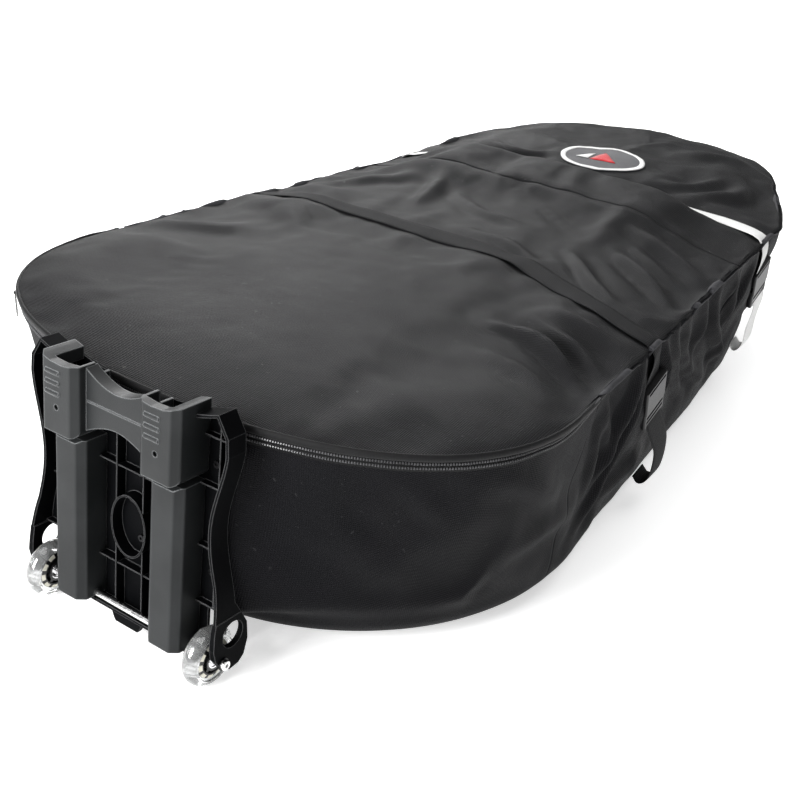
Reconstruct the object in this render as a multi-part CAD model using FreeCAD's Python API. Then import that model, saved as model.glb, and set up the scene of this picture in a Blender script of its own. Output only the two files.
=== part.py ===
"""Wheeled snowboard bag lying flat: a padded fabric shell on a wheeled plastic chassis.

Frame: millimetres, +X from the wheel end to the tail, +Z up, origin at the centre of the flat base.
"""
import FreeCAD, Part
import math
import os

V = FreeCAD.Vector

# ---------------------------------------------------------------- driving dimensions
# Bag body: two outlines, one at the top rim and one where the walls meet the rounded base edge.
RIM = {"front": -756, "wide_x": -486, "wide": 413, "power": 2.3,
       "narrow_x": 394, "narrow": 347, "tail": 774}
BASE = {"front": -738, "wide_x": -386, "wide": 372, "power": 2.0,
        "narrow_x": 394, "narrow": 300, "tail": 739}
RIM_Z_FRONT = 325       # rim height at the nose
RIM_Z_TAIL = 302        # rim height at the tail
BASE_EDGE_Z = 50        # height at which the base edge starts to round under
FLOOR_INSET = 60        # how far the flat base lies inside the base outline
CROWN = 20              # rise of the top panels above the rim
CROWN_INSET = 140       # distance over which the crown rises
SKIN = 6                # padded fabric thickness
GAP = 0.3               # clearance between soft pieces on different bodies

LID_X = -419            # where the zip ends and the lid folds
SKIRT = 14              # height of the lid's side skirt, from the rim to the coil
REAR_SEAM_X = 139       # transverse seam between the middle and the rear top panel

# Wheels and axle
AXLE_X = -806
WHEEL_R = 38
WHEEL_W = 24
WHEEL_Y = 135
AXLE_R = 4
BORE_CLEARANCE = 0.05
BEARING_R = 11
BEARING_W = 7
CORE_R = 25

# Chassis, drawn upright with x measured from the axle and then leaned back about the axle line
TRAY_LEAN = 4.9         # degrees
PLATE_FRONT = 16        # back plate of the tray
PLATE_BACK = 20
PLATE_Y = 118           # half width of the plate between the wheels
COLLAR_Y = 134          # half width of the fabric-covered collar between the tray and the bag
COLLAR_FLARE = 88       # how far the collar has widened where it meets the bag
COLLAR_Z = (66, 294)
COLLAR_WALL = 5
RIM_FRONT = -8
COLUMN_Y = 79           # centre line of each skid and cap
SKID_HALF = 26          # half width of a skid where it meets the plate
SKID_FRONT = -25
SKID_TOP = 254
SKID_BOTTOM = 34
CAP_HALF = 30
CAP_FRONT = -38
CAP_TOP = 360
CAP_BOTTOM = 262
CAP_BAND = 24           # depth of solid plastic along the cap's top edge
CAP_HOLE_Z = 295        # screw hole in the face of each cap
CAP_SEAT = -20          # where the screw head sits inside the cap
BRIDGE_FRONT = -20
WALL = 4
BRACKET_IN = 151        # inner and outer face of each wheel bracket
BRACKET_OUT = 159
HAND_HOLE_Z = 300       # lower edge of the hand hole behind the bridge
SCREW_PLACES = [(y, z) for y in (-122, 122) for z in (140, 214, 280)] + [(-8, 136), (8, 184)]

WEB_W = 40              # webbing width
WEB_T = 1.6             # webbing thickness
PATCH_X = 406           # centre of the sewn patch

FAR = 3000              # larger than the whole bag


# ---------------------------------------------------------------- helpers
def box(x0, x1, y0, y1, z0, z1):
    return Part.makeBox(x1 - x0, y1 - y0, z1 - z0, V(x0, y0, z0))


def rod(radius, start, direction, length):
    return Part.makeCylinder(radius, length, start, direction)


def ring(outer, inner, start, direction, length):
    return rod(outer, start, direction, length).cut(rod(inner, start, direction, length))


def prism(points, direction):
    """Extrude the closed polygon through the points along the direction."""
    wire = Part.makePolygon(points + [points[0]])
    return Part.Face(wire).extrude(direction)


def fuse(shapes):
    result = shapes[0].multiFuse(shapes[1:]) if len(shapes) > 1 else shapes[0]
    return result.removeSplitter()


def mirror_y(shape):
    return shape.mirror(V(0, 0, 0), V(0, 1, 0))


def round_edges(shape, radius, pick):
    """Fillet the edges that pick() accepts."""
    edges = [edge for edge in shape.Edges if pick(edge)]
    return shape.makeFillet(radius, edges)


def save(shape, node):
    if isinstance(shape, Part.Compound) and len(shape.Solids) == 1:
        shape = shape.Solids[0]
    shape.exportStep("parts/" + node + ".step")
    print(node, len(shape.Solids), "solids", shape.isValid(), round(shape.Volume / 1000, 1), "cm3")


# ---------------------------------------------------------------- bag outline and shell
def rim_z(x):
    run = (x - RIM["front"]) / (RIM["tail"] - RIM["front"])
    return RIM_Z_FRONT + (RIM_Z_TAIL - RIM_Z_FRONT) * run


def blend(share):
    """Outline sizes at a share of the wall's height, 0 at the base edge and 1 at the rim."""
    return {key: BASE[key] + (RIM[key] - BASE[key]) * share for key in RIM}


def quarter(centre_x, reach, width, power, steps):
    """Points of a superellipse quarter from its end on the X axis to its widest place."""
    points = []
    for i in range(steps + 1):
        turn = math.pi / 2 * i / steps
        along = reach * math.cos(turn) ** (2 / power) if i < steps else 0
        points.append((centre_x - along, width * math.sin(turn) ** (2 / power)))
    return points


def outline_points(size, inset):
    """Half outline from the nose to the tail, on the +Y side."""
    nose = quarter(size["wide_x"], size["wide_x"] - size["front"] - inset,
                   size["wide"] - inset, size["power"], 9)
    tail = quarter(size["narrow_x"], size["narrow_x"] - size["tail"] + inset,
                   size["narrow"] - inset, 2.0, 8)
    sides = []
    for share in (0.25, 0.5, 0.75):
        x = size["wide_x"] + (size["narrow_x"] - size["wide_x"]) * share
        y = size["wide"] + (size["narrow"] - size["wide"]) * share - inset
        sides.append((x, y))
    return nose + sides + tail[::-1]


def section(share, inset, lift=0.0, level=None):
    """Closed outline wire: level gives a flat height, otherwise it follows the sloping rim."""
    half = outline_points(blend(share), inset)
    loop = half + [(x, -y) for x, y in half[-2:0:-1]]
    vectors = []
    for x, y in loop:
        z = level if level is not None else BASE_EDGE_Z + (rim_z(x) - BASE_EDGE_Z) * share + lift
        vectors.append(V(x, y, z))
    curve = Part.BSplineCurve()
    curve.interpolate(Points=vectors, PeriodicFlag=True)
    return Part.Wire([curve.toShape()])


def bag_solid(inset):
    """The whole bag as one closed solid, inset by a distance from its outer skin."""
    wires = [section(0, FLOOR_INSET + inset / 2, level=inset),
             section(0, 22 + inset, level=15 + inset * 0.7),
             section(0, inset, level=BASE_EDGE_Z),
             section(1, inset, lift=-inset),
             section(1, CROWN_INSET, lift=CROWN - inset)]
    return Part.makeLoft(wires, True, True)


def below_rim(offset):
    """Everything below a plane that runs at an offset from the sloping rim."""
    points = [V(x, -FAR, z) for x, z in ((-FAR, -FAR), (FAR, -FAR),
                                         (FAR, rim_z(FAR) + offset), (-FAR, rim_z(-FAR) + offset))]
    return prism(points, V(0, 2 * FAR, 0))


def rim_band(low, high, inner, outer, x_end):
    """A band round the nose between two heights measured from the rim, as far back as x_end."""
    span = RIM_Z_FRONT - BASE_EDGE_Z

    def skin(inset):
        return Part.makeLoft([section(1 + low / span, inset), section(1 + high / span, inset)], True, True)

    return skin(-outer).cut(skin(-inner)).common(box(-FAR, x_end, -FAR, FAR, 0, FAR))


def nose_x(y, z):
    """Where the outside of the nose lies at a place across the bag and a height."""
    size = blend((z - BASE_EDGE_Z) / (RIM_Z_FRONT - BASE_EDGE_Z))
    reach = size["wide_x"] - size["front"]
    return size["wide_x"] - reach * (1 - (abs(y) / size["wide"]) ** size["power"]) ** (1 / size["power"])


def make_bag_shell():
    shell = bag_solid(0).cut(bag_solid(SKIN))
    above_floor = box(-FAR, FAR, -FAR, FAR, SKIN, FAR)
    nose_zone = box(-FAR, LID_X, -FAR, FAR, -FAR, FAR)
    save(shell.common(box(-FAR, FAR, -FAR, FAR, -FAR, SKIN)), "base_panel")
    walls = shell.common(above_floor).common(below_rim(0))
    nose = walls.common(nose_zone).common(below_rim(-SKIRT - GAP))
    save(nose.cut(screw_holes()), "nose_gusset")
    side_zone = box(LID_X, REAR_SEAM_X, 0, FAR, -FAR, FAR)
    save(walls.common(side_zone), "side_gusset_left")
    save(walls.common(mirror_y(side_zone)), "side_gusset_right")
    save(walls.common(box(REAR_SEAM_X, FAR, -FAR, FAR, -FAR, FAR)), "tail_gusset")
    top = shell.cut(below_rim(0))
    save(top.common(box(LID_X, REAR_SEAM_X, -FAR, FAR, -FAR, FAR)), "mid_top_panel")
    save(top.common(box(REAR_SEAM_X, FAR, -FAR, FAR, -FAR, FAR)), "rear_top_panel")
    lid = shell.common(box(-FAR, LID_X - GAP, -FAR, FAR, -FAR, FAR)).cut(below_rim(-SKIRT))
    save(lid, "lid_panel")


def make_zip():
    end = LID_X - 2
    save(rim_band(-4, 1.5, 0.05, 3, end), "lid_binding")
    save(rim_band(-SKIRT + 3, -4.2, 0.05, 1.2, end), "zip_tape_upper")
    save(rim_band(-SKIRT, -SKIRT + 2.8, 0.05, 3, end), "zip_coil_upper")
    save(rim_band(-SKIRT - 3, -SKIRT - GAP, 0.05, 3, end), "zip_coil_lower")
    save(rim_band(-SKIRT - 15, -SKIRT - 3.2, 0.05, 1.2, end), "zip_tape_lower")


def nose_frame(turn_deg, height):
    """Placement on the left side of the nose: local X outward, local Y along the rim, Z up."""
    size = blend(1 - SKIRT / (RIM_Z_FRONT - BASE_EDGE_Z))
    reach = size["wide_x"] - size["front"]
    turn = math.radians(turn_deg)
    step = 0.001

    def at(angle):
        return V(size["wide_x"] - reach * math.cos(angle) ** (2 / size["power"]),
                 size["wide"] * math.sin(angle) ** (2 / size["power"]), 0)

    point = at(turn)
    along = (at(turn + step) - at(turn - step)).normalize()
    outward = along.cross(V(0, 0, -1))
    point.z = height
    return FreeCAD.Placement(point, FreeCAD.Rotation(outward, V(0, 0, 1).cross(outward), V(0, 0, 1), "ZXY"))


def make_zip_slider():
    """Slider body at the left end of the zip's travel, with a hanging pull tab."""
    place = nose_frame(54, rim_z(-650) - SKIRT)
    hinge = 10
    body = box(3.9, 7.3, -6, 6, -5, 5).cut(box(4.8, 6.1, -7, 7, -0.6, 0.6))
    posts = [box(7.2, hinge + 0.9, y, y + 0.8, -1, 1) for y in (-5, 4.2)]
    bar = rod(0.9, V(hinge, -5, 0), V(0, 1, 0), 10)
    slider = fuse([body, bar] + posts)
    slider.Placement = place
    save(slider, "zip_slider")
    eye = rod(2.2, V(hinge, -2.2, 0), V(0, 1, 0), 4.4)
    neck = box(hinge - 0.7, hinge + 0.7, -2.2, 2.2, -5.5, -1)
    arm = box(hinge - 0.7, hinge + 0.7, -4.5, 4.5, -34, -5)
    slot = box(hinge - 1, hinge + 1, -2, 2, -30, -10)
    pull = fuse([eye, neck, arm]).cut(slot).cut(rod(1.15, V(hinge, -3, 0), V(0, 1, 0), 6))
    pull.Placement = place
    save(pull, "zip_pull")
    print("pull hinge at", [round(c, 2) for c in place.multVec(V(hinge, 0, 0))],
          "axis", [round(c, 4) for c in place.Rotation.multVec(V(0, 1, 0))])


def make_inner_pieces():
    base = Part.makeLoft([section(0, 80, level=SKIN + GAP), section(0, 78, level=SKIN + 3)], True, True)
    save(base, "base_stiffener")
    pad = Part.makeLoft([section(0, 80, level=SKIN + 3 + GAP), section(0, 76, level=SKIN + 10)], True, True)
    save(pad, "base_foam_pad")
    layer = bag_solid(SKIN + GAP).cut(bag_solid(SKIN + 3.3))
    save(layer.common(box(-FAR, -600, -150, 150, 70, 300)).cut(screw_holes()), "backing_plate")
    straps = []
    buckles = []
    pad_top = SKIN + 10 + GAP
    for x in (-330, 250):
        straps.append(box(x - 19, x + 19, -230, 230, pad_top, pad_top + WEB_T))
        buckles.append(box(x - 24, x + 24, -22, 22, pad_top + WEB_T + GAP, pad_top + 12))
    save(Part.makeCompound(straps), "inner_tie_straps")
    save(Part.makeCompound(buckles), "inner_tie_buckles")


# ---------------------------------------------------------------- chassis
def lean_back(shape):
    """Lean an upright chassis piece back about the axle line and set it on the axle."""
    shape.rotate(V(0, 0, WHEEL_R), V(0, 1, 0), TRAY_LEAN)
    shape.translate(V(AXLE_X, 0, 0))
    return shape


def chassis_outline(inset=0.0):
    """Closed outline of the upright tray seen from the wheel end."""
    edges = []
    for sign in (1, -1):
        crest = [(50, 334), (90, 340), (116, 346), (141 - inset * 0.4, 354)]
        side = [(158, 308), (150, 270), (140.5, 232), (138, 205), (140, 180),
                (147, 148), (153, 124), (157, 96), (BRACKET_OUT, 58)]
        top = [V(0, sign * y, z - inset) for y, z in crest]
        waist = [V(0, sign * (y - inset), z) for y, z in side]
        corner = V(0, sign * (156.5 - inset), 330 - inset * 0.4)
        foot = V(0, sign * (BRACKET_OUT - inset), 22 + inset)
        shoulder = Part.BSplineCurve()
        shoulder.interpolate(top)
        flank = Part.BSplineCurve()
        flank.interpolate(waist)
        edges += [shoulder.toShape(), Part.makeLine(top[-1], corner), Part.makeLine(corner, waist[0]),
                  flank.toShape(), Part.makeLine(waist[-1], foot)]
        if sign > 0:
            ends = (top[0], foot)
    for end in ends:
        edges.append(Part.makeLine(end, V(0, -end.y, end.z)))
    return Part.Wire(Part.__sortEdges__(edges))


def both_sides(shape):
    return [shape, mirror_y(shape)]


def make_chassis_tray():
    front = -24
    deep = 44
    whole = Part.Face(chassis_outline())
    whole.translate(V(front, 0, 0))
    whole = whole.extrude(V(deep - front, 0, 0))
    hollow = Part.Face(chassis_outline(WALL))
    hollow.translate(V(front - 1, 0, 0))
    hollow = hollow.extrude(V(deep - front + 2, 0, 0))
    # Side view of the flange, with the wheel bracket hanging below it.
    profile = [(RIM_FRONT, 400), (RIM_FRONT, 140), (-16, 80), (-17, 62), (-13, 46), (0, 29), (12, 24),
               (27, 26), (36, 34), (41, 54), (39, 78), (PLATE_BACK, 112), (PLATE_BACK, 400)]
    side_view = prism([V(x, -FAR, z) for x, z in profile], V(0, 2 * FAR, 0))
    flange = whole.cut(hollow).common(side_view).cut(box(-FAR, FAR, -BRACKET_IN, BRACKET_IN, 0, 34))
    cheek = box(-20, deep, BRACKET_IN, BRACKET_OUT - 1, 22, 96).common(side_view)
    plate = whole.common(box(PLATE_FRONT, PLATE_BACK, -FAR, FAR, 95, FAR))
    apron = box(PLATE_FRONT, PLATE_BACK, -PLATE_Y, PLATE_Y, 26, 96)
    lip = box(-2, PLATE_BACK, -PLATE_Y, PLATE_Y, 26, 30)
    tongue = rod(26, V(0, 0, 30), V(1, 0, 0), 5).common(box(-1, 9, -30, 30, 12, 30))
    ribs = []
    for z in (98, 174, 254, 316):
        ribs += both_sides(box(7, PLATE_FRONT + 1, 105.1, 158, z - 0.9, z + 0.9).common(whole))
    ribs += both_sides(box(8, PLATE_FRONT + 1, 131, 132.6, 98, 335))
    ribs += both_sides(box(2, PLATE_FRONT + 1, 21.2, 22.8, 28, HAND_HOLE_Z))
    for z in (94, 228, 292):
        ribs.append(box(4, PLATE_FRONT + 1, -52.9, 52.9, z - 0.8, z + 0.8))
    parts = [flange, plate, apron, lip, tongue] + both_sides(cheek)
    tray = fuse(parts + ribs + [oval_boss(29, 42)]).cut(oval_boss(26.5, 39.5))
    # Round window in each wheel bracket, and the axle hole.
    for sign in (-1, 1):
        window = rod(17, V(15, sign * 145, 72), V(0, sign, 0), 30)
        axle_hole = rod(AXLE_R + BORE_CLEARANCE, V(0, sign * 145, WHEEL_R), V(0, sign, 0), 30)
        tray = tray.cut(window).cut(axle_hole)
    # Hand hole behind the bridge, and room for the caps and their screws.
    tray = tray.cut(box(-FAR, FAR, -52, 52, HAND_HOLE_Z, FAR))
    reach = CAP_HALF + 0.2
    for room in both_sides(box(-FAR, PLATE_FRONT, COLUMN_Y - reach, COLUMN_Y + reach, CAP_BOTTOM - 1, FAR)):
        tray = tray.cut(room)
    tray = tray.cut(rod(5, V(0, -60, WHEEL_R), V(0, 1, 0), 120))
    for hole in both_sides(rod(2.05, V(0, COLUMN_Y, CAP_HOLE_Z), V(1, 0, 0), 40)):
        tray = tray.cut(hole)
    supports = [rod(8, V(PLATE_BACK - 1, y, z), V(1, 0, 0), 90) for y, z in SCREW_PLACES]
    tray = lean_back(tray)
    skin = bag_solid(-0.1)
    tray = tray.multiFuse([lean_back(piece).cut(skin) for piece in supports]).cut(screw_holes())
    save(tray, "chassis_tray")


def make_mount_collar():
    """Open collar that fairs the tray's flanges into the nose of the bag."""
    low, high = COLLAR_Z
    reach = 110

    def wedge(wall, start):
        plan = [(start, -COLLAR_Y + wall), (start, COLLAR_Y - wall),
                (reach, COLLAR_Y + COLLAR_FLARE - wall), (reach, wall - COLLAR_Y - COLLAR_FLARE)]
        return prism([V(x, y, low + wall) for x, y in plan], V(0, 0, high - low - 2 * wall))

    collar = wedge(0, PLATE_BACK + 0.1).cut(wedge(COLLAR_WALL, PLATE_BACK))
    for y, z in SCREW_PLACES:
        collar = collar.cut(rod(8.2, V(0, y, z), V(1, 0, 0), 140))
    # Room for the wheels and their brackets.
    collar = collar.cut(box(0, 48, -170, 170, 0, 116))
    save(lean_back(collar).cut(bag_solid(-0.1)), "mount_collar")


def oval_boss(half_y, half_z):
    ellipse = Part.Ellipse(V(0, 0, half_z), V(0, half_y, 0), V(0, 0, 0))
    face = Part.Face(Part.Wire([ellipse.toShape()]))
    face.translate(V(0, 0, 154))
    return face.extrude(V(PLATE_FRONT, 0, 0))


def screw_holes():
    """Clearance holes for the chassis screws through the tray, the nose gusset and the backing plate."""
    rods = [rod(2.5, V(0, y, z), V(1, 0, 0), 200) for y, z in SCREW_PLACES]
    return lean_back(Part.makeCompound(rods))


def column(half_width, front_half, front, bottom, top):
    """Upright block with chamfered and rounded front corners, flat at the back."""
    back = PLATE_FRONT
    chamfer = (half_width - front_half) * 0.9
    plan = [(back, -half_width), (front + chamfer, -half_width), (front, -front_half),
            (front, front_half), (front + chamfer, half_width), (back, half_width)]
    body = prism([V(x, y, bottom) for x, y in plan], V(0, 0, top - bottom))
    return round_edges(body, 5, lambda e: e.BoundBox.ZLength > 20 and e.CenterOfMass.x < back - 2)


def make_skids():
    outer = column(SKID_HALF, 16, SKID_FRONT, SKID_BOTTOM, SKID_TOP)
    outer = outer.cut(prism([V(SKID_FRONT - 1, -FAR, SKID_TOP - 5), V(SKID_FRONT + 8, -FAR, SKID_TOP + 1),
                             V(SKID_FRONT - 1, -FAR, SKID_TOP + 1)], V(0, 2 * FAR, 0)))
    inner = column(SKID_HALF - 3, 14, SKID_FRONT + 3, SKID_BOTTOM + 3, SKID_TOP - 8)
    skid = outer.cut(inner)
    bore = rod(AXLE_R + BORE_CLEARANCE, V(0, -60, WHEEL_R), V(0, 1, 0), 120)
    tube = rod(6, V(0, -SKID_HALF, WHEEL_R + 0.5), V(0, 1, 0), 2 * SKID_HALF)
    skid = fuse([skid, outer.common(tube)]).cut(bore)
    skid.translate(V(0, COLUMN_Y, 0))
    skid = lean_back(skid)
    save(skid, "skid_left")
    save(mirror_y(skid), "skid_right")


def make_cap():
    """Left cap: a hollow front with an open finger pocket behind its top band."""
    cap = column(CAP_HALF, 21, CAP_FRONT, CAP_BOTTOM, CAP_TOP)
    cap = cap.cut(column(CAP_HALF - 3.5, 18.5, CAP_FRONT + 3.5, CAP_BOTTOM - 1, CAP_TOP - CAP_BAND))
    boss = rod(6.5, V(CAP_FRONT + 1, 0, CAP_HOLE_Z), V(1, 0, 0), PLATE_FRONT - CAP_FRONT - 1)
    cap = fuse([cap, boss])
    cap = cap.cut(rod(3.4, V(CAP_FRONT - 1, 0, CAP_HOLE_Z), V(1, 0, 0), CAP_SEAT - CAP_FRONT + 1))
    cap = cap.cut(rod(2.05, V(CAP_FRONT, 0, CAP_HOLE_Z), V(1, 0, 0), 100))
    pocket = box(CAP_FRONT + 12, PLATE_FRONT + 1, 3.5 - CAP_HALF, 14, CAP_HOLE_Z + 20, FAR)
    # The top dips between the inner corner and the flange.
    crest = [(-40, 352), (-24, 352), (-8, 350), (10, 351), (24, 355), (40, 358)]
    saddle = prism([V(-60, y, z) for y, z in crest] + [V(-60, 40, 400), V(-60, -40, 400)], V(120, 0, 0))
    inner_wall = box(BRIDGE_FRONT + 14, PLATE_FRONT + 1, -FAR, 0, CAP_TOP - CAP_BAND, FAR)
    cap = cap.cut(pocket).cut(saddle).cut(inner_wall)
    # Both lower corners are round, seen from the front.
    rounded = box(CAP_FRONT - 1, PLATE_FRONT + 1, -CAP_HALF, CAP_HALF, CAP_BOTTOM, FAR)
    corners = [e for e in rounded.Edges if e.BoundBox.ZMax < CAP_BOTTOM + 1 and e.BoundBox.XLength > 1]
    cap = cap.common(rounded.makeFillet(9, corners))
    cap.translate(V(0, COLUMN_Y, 0))
    return cap


def make_cap_bridge():
    cap = make_cap()
    ledges = []
    for z in (312, 325, 338):
        for sign in (-1, 1):
            ledge = rod(3, V(CAP_FRONT + 1, sign * COLUMN_Y - 5, z), V(0, 1, 0), 22)
            ledges.append(ledge.common(box(CAP_FRONT - 5, CAP_FRONT + 1, -FAR, FAR, 0, FAR)))
    reach = COLUMN_Y - CAP_HALF + 1
    front = BRIDGE_FRONT
    upper = [V(front, -reach, 350), V(front, -28, 338), V(front, 0, 332), V(front, 28, 338),
             V(front, reach, 350)]
    lower = [V(front, reach, 270), V(front, 28, 280), V(front, 0, 286), V(front, -28, 280),
             V(front, -reach, 270)]
    grip_top = Part.BSplineCurve()
    grip_top.interpolate(upper)
    grip_low = Part.BSplineCurve()
    grip_low.interpolate(lower)
    outline = Part.Wire([grip_top.toShape(), Part.makeLine(upper[-1], lower[0]),
                         grip_low.toShape(), Part.makeLine(lower[-1], upper[0])])
    panel = Part.Face(outline).extrude(V(5, 0, 0))
    # The grip's top lip is thicker and turns back over the hand.
    lip = Part.Face(outline).extrude(V(18, 0, 0)).common(box(front, front + 18, -reach, reach, 320, 400))
    lip = lip.cut(box(front + 4, FAR, -FAR, FAR, 0, 327))
    recess = box(front - 1, front + 1.6, 3 - reach, reach - 3, 308, 310)
    bridge = fuse([panel, lip]).cut(recess)
    save(lean_back(fuse([cap, mirror_y(cap), bridge] + ledges)), "cap_bridge")


def pan_head(tip, direction, head_r, head_h, shank_r, length):
    """Screw whose shank runs from tip along direction, with a socket in its head."""
    shank = rod(shank_r, tip, direction, length + 0.1)
    head_start = tip + direction * length
    head = rod(head_r, head_start, direction, head_h)
    socket = rod(head_r * 0.45, head_start + direction * (head_h * 0.4), direction, head_h)
    return shank.fuse(head).cut(socket).removeSplitter()


def make_screws():
    outward = V(-1, 0, 0)
    caps = []
    for sign in (-1, 1):
        tip = V(PLATE_BACK, sign * COLUMN_Y, CAP_HOLE_Z)
        caps.append(pan_head(tip, outward, 3.2, 2.5, 2, PLATE_BACK - CAP_SEAT))
    save(lean_back(Part.makeCompound(caps)), "cap_screws")
    slope = math.tan(math.radians(TRAY_LEAN))
    fixings = []
    for y, z in SCREW_PLACES:
        tip = V(nose_x(y, z) - AXLE_X - (z - WHEEL_R) * slope + SKIN + 8, y, z)
        fixings.append(pan_head(tip, outward, 4.5, 2.6, 2.4, tip.x - PLATE_FRONT + 0.05))
    save(lean_back(Part.makeCompound(fixings)), "chassis_screws")


# ---------------------------------------------------------------- wheels and axle
def around_axle(profile):
    """Turn a closed profile of (radius, offset along the axle) points into a ring."""
    wire = Part.makePolygon([V(r, y, 0) for r, y in profile + [profile[0]]])
    return Part.Face(wire).revolve(V(0, 0, 0), V(0, 1, 0), 360)


def make_wheel(side):
    sign = 1 if side == "left" else -1
    centre = V(AXLE_X, sign * WHEEL_Y, WHEEL_R)
    half = WHEEL_W / 2
    # Tyre: flat sides, then a round tread drawn as an arc.
    low = [V(CORE_R, -8.5, 0), V(CORE_R + 3, -half, 0), V(31, -half, 0)]
    high = [V(31, half, 0), V(CORE_R + 3, half, 0), V(CORE_R, 8.5, 0)]
    tread = Part.Arc(low[-1], V(WHEEL_R, 0, 0), high[0]).toShape()
    edges = [Part.makeLine(low[0], low[1]), Part.makeLine(low[1], low[2]), tread,
             Part.makeLine(high[0], high[1]), Part.makeLine(high[1], high[2]),
             Part.makeLine(high[2], low[0])]
    tyre = Part.Face(Part.Wire(edges)).revolve(V(0, 0, 0), V(0, 1, 0), 360)
    rim = around_axle([(CORE_R, -8.5), (CORE_R, 8.5), (19.5, 10.5), (18.5, 10.5), (18.5, -10.5), (19.5, -10.5)])
    hub = around_axle([(14, -half), (14, half), (BEARING_R, half), (BEARING_R, 5), (6, 5),
                       (6, -5), (BEARING_R, -5), (BEARING_R, -half)])
    pieces = [rim, hub]
    for i in range(5):
        spoke = box(-2.2, 2.2, -8, 8, 13, 19.2)
        spoke.rotate(V(0, 0, 0), V(0, 1, 0), 72 * i)
        pieces.append(spoke)
    core = fuse(pieces)
    bearings = []
    for y in (5, -half):
        outer = ring(BEARING_R, 9, V(0, y, 0), V(0, 1, 0), BEARING_W)
        inner = ring(6, AXLE_R + BORE_CLEARANCE, V(0, y, 0), V(0, 1, 0), BEARING_W)
        shield = ring(9.5, 5.8, V(0, y + 1, 0), V(0, 1, 0), BEARING_W - 2)
        bearings.append(fuse([outer, inner, shield]))
    sleeve = ring(5.4, AXLE_R + BORE_CLEARANCE, V(0, -5, 0), V(0, 1, 0), 10)
    parts = {"tyre": tyre, "core": core, "bearings": Part.makeCompound(bearings), "sleeve": sleeve}
    for name, shape in parts.items():
        shape.translate(centre)
        save(shape, "wheel_" + side + "_" + name)


def make_axle():
    line = V(AXLE_X, 0, WHEEL_R)
    shaft = rod(AXLE_R, line - V(0, BRACKET_OUT, 0), V(0, 1, 0), 2 * BRACKET_OUT)
    save(shaft, "axle_rod")
    spacers = []
    washers = []
    bolts = []
    for sign in (-1, 1):
        out = V(0, sign, 0)
        wheel_in = WHEEL_Y - WHEEL_W / 2
        wheel_out = WHEEL_Y + WHEEL_W / 2
        skid_side = COLUMN_Y + SKID_HALF
        for start, end in ((skid_side + 0.1, wheel_in - 0.1), (wheel_out + 0.1, BRACKET_IN - 0.1)):
            spacers.append(ring(5.8, AXLE_R + BORE_CLEARANCE, line + out * start, out, end - start))
        washers.append(ring(8, AXLE_R + BORE_CLEARANCE, line + out * BRACKET_OUT, out, 1.4))
        head = rod(6.4, line + out * (BRACKET_OUT + 1.4), out, 4.6)
        head = round_edges(head, 1.2, lambda e: abs(e.CenterOfMass.y) > BRACKET_OUT + 5)
        hexagon = [V(AXLE_X + 2.9 * math.cos(math.radians(60 * i)), sign * (BRACKET_OUT + 2.6),
                     WHEEL_R + 2.9 * math.sin(math.radians(60 * i))) for i in range(6)]
        bolts.append(head.cut(prism(hexagon, out * 6)))
    save(Part.makeCompound(spacers), "axle_spacers")
    save(Part.makeCompound(washers), "axle_washers")
    save(Part.makeCompound(bolts), "axle_bolts")


# ---------------------------------------------------------------- straps and buckles
BUCKLE_HALF = 26
BUCKLE_END = 46
# Each strap: plan route over the top from left to right, side route down the right flank as
# (x, z), and where its slack lower webbing comes back to the bag.
STRAPS = {
    "main": {"top": [(-131, 460), (-136, -94), (-226, -330), (-232, -460)],
             "side": [(-234, 340), (-222, 288), (-150, 150), (-120, 40)],
             "loop_x": -118, "loop_out": 26, "loop_z": 60},
    "rear": {"top": [(232, 460), (262, 200), (300, 0), (296, -200), (272, -460)],
             "side": [(272, 340), (280, 285), (345, 170), (352, 40)],
             "loop_x": 352, "loop_out": 22, "loop_z": 95},
}


def strip(route, width, lift):
    """Flat strip of a given width along a polyline of vectors, extruded by lift."""
    pieces = []
    for start, end in zip(route, route[1:]):
        along = (end - start).normalize()
        across = along.cross(lift).normalize() * (width / 2)
        overrun = along * 2
        pieces.append(prism([start + across - overrun, end + across + overrun,
                             end - across + overrun, start - across - overrun], lift))
    for corner in route[1:-1]:
        pieces.append(Part.makeCylinder(width / 2, lift.Length, corner, lift))
    return pieces[0].multiFuse(pieces[1:])


def strap_layer():
    return bag_solid(-GAP - WEB_T).cut(bag_solid(-GAP))


def side_frame(strap):
    """Placement of the buckle on the right flank: local X down the strap, local Z outward."""
    route = [V(x, 0, z) for x, z in STRAPS[strap]["side"]]
    start, end = route[1], route[2]
    along = (end - start).normalize()
    middle = (start + end) * 0.5
    share = (middle.z - BASE_EDGE_Z) / (rim_z(middle.x) - BASE_EDGE_Z)
    size = blend(share)
    run = (middle.x - size["wide_x"]) / (size["narrow_x"] - size["wide_x"])
    half = size["wide"] + (size["narrow"] - size["wide"]) * run
    lean = (blend(1)["wide"] - blend(0)["wide"]) / (rim_z(middle.x) - BASE_EDGE_Z)
    outward = V(0, -1, -lean).normalize()
    across = outward.cross(along).normalize()
    along = across.cross(outward).normalize()
    place = FreeCAD.Placement(V(middle.x, -half, middle.z) + outward * 3.6,
                              FreeCAD.Rotation(along, across, outward, "XZY"))
    return place, along


def buckle_female():
    """Outer half: flat housing with side windows, and a bar that carries the upper webbing."""
    body = box(-40, 14, -BUCKLE_HALF, BUCKLE_HALF, 0, 10)
    body = round_edges(body, 3, lambda e: abs(e.CenterOfMass.y) > BUCKLE_HALF - 1 and e.BoundBox.XLength > 20)
    cavity = box(-17, 15, -22, 22, 2.3, 7.7)
    windows = box(-12, 3, -30, 30, 2.4, 7.6)
    slot = box(-37, -31, -21.5, 21.5, -1, 12)
    return body.cut(cavity).cut(windows).cut(slot)


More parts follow.
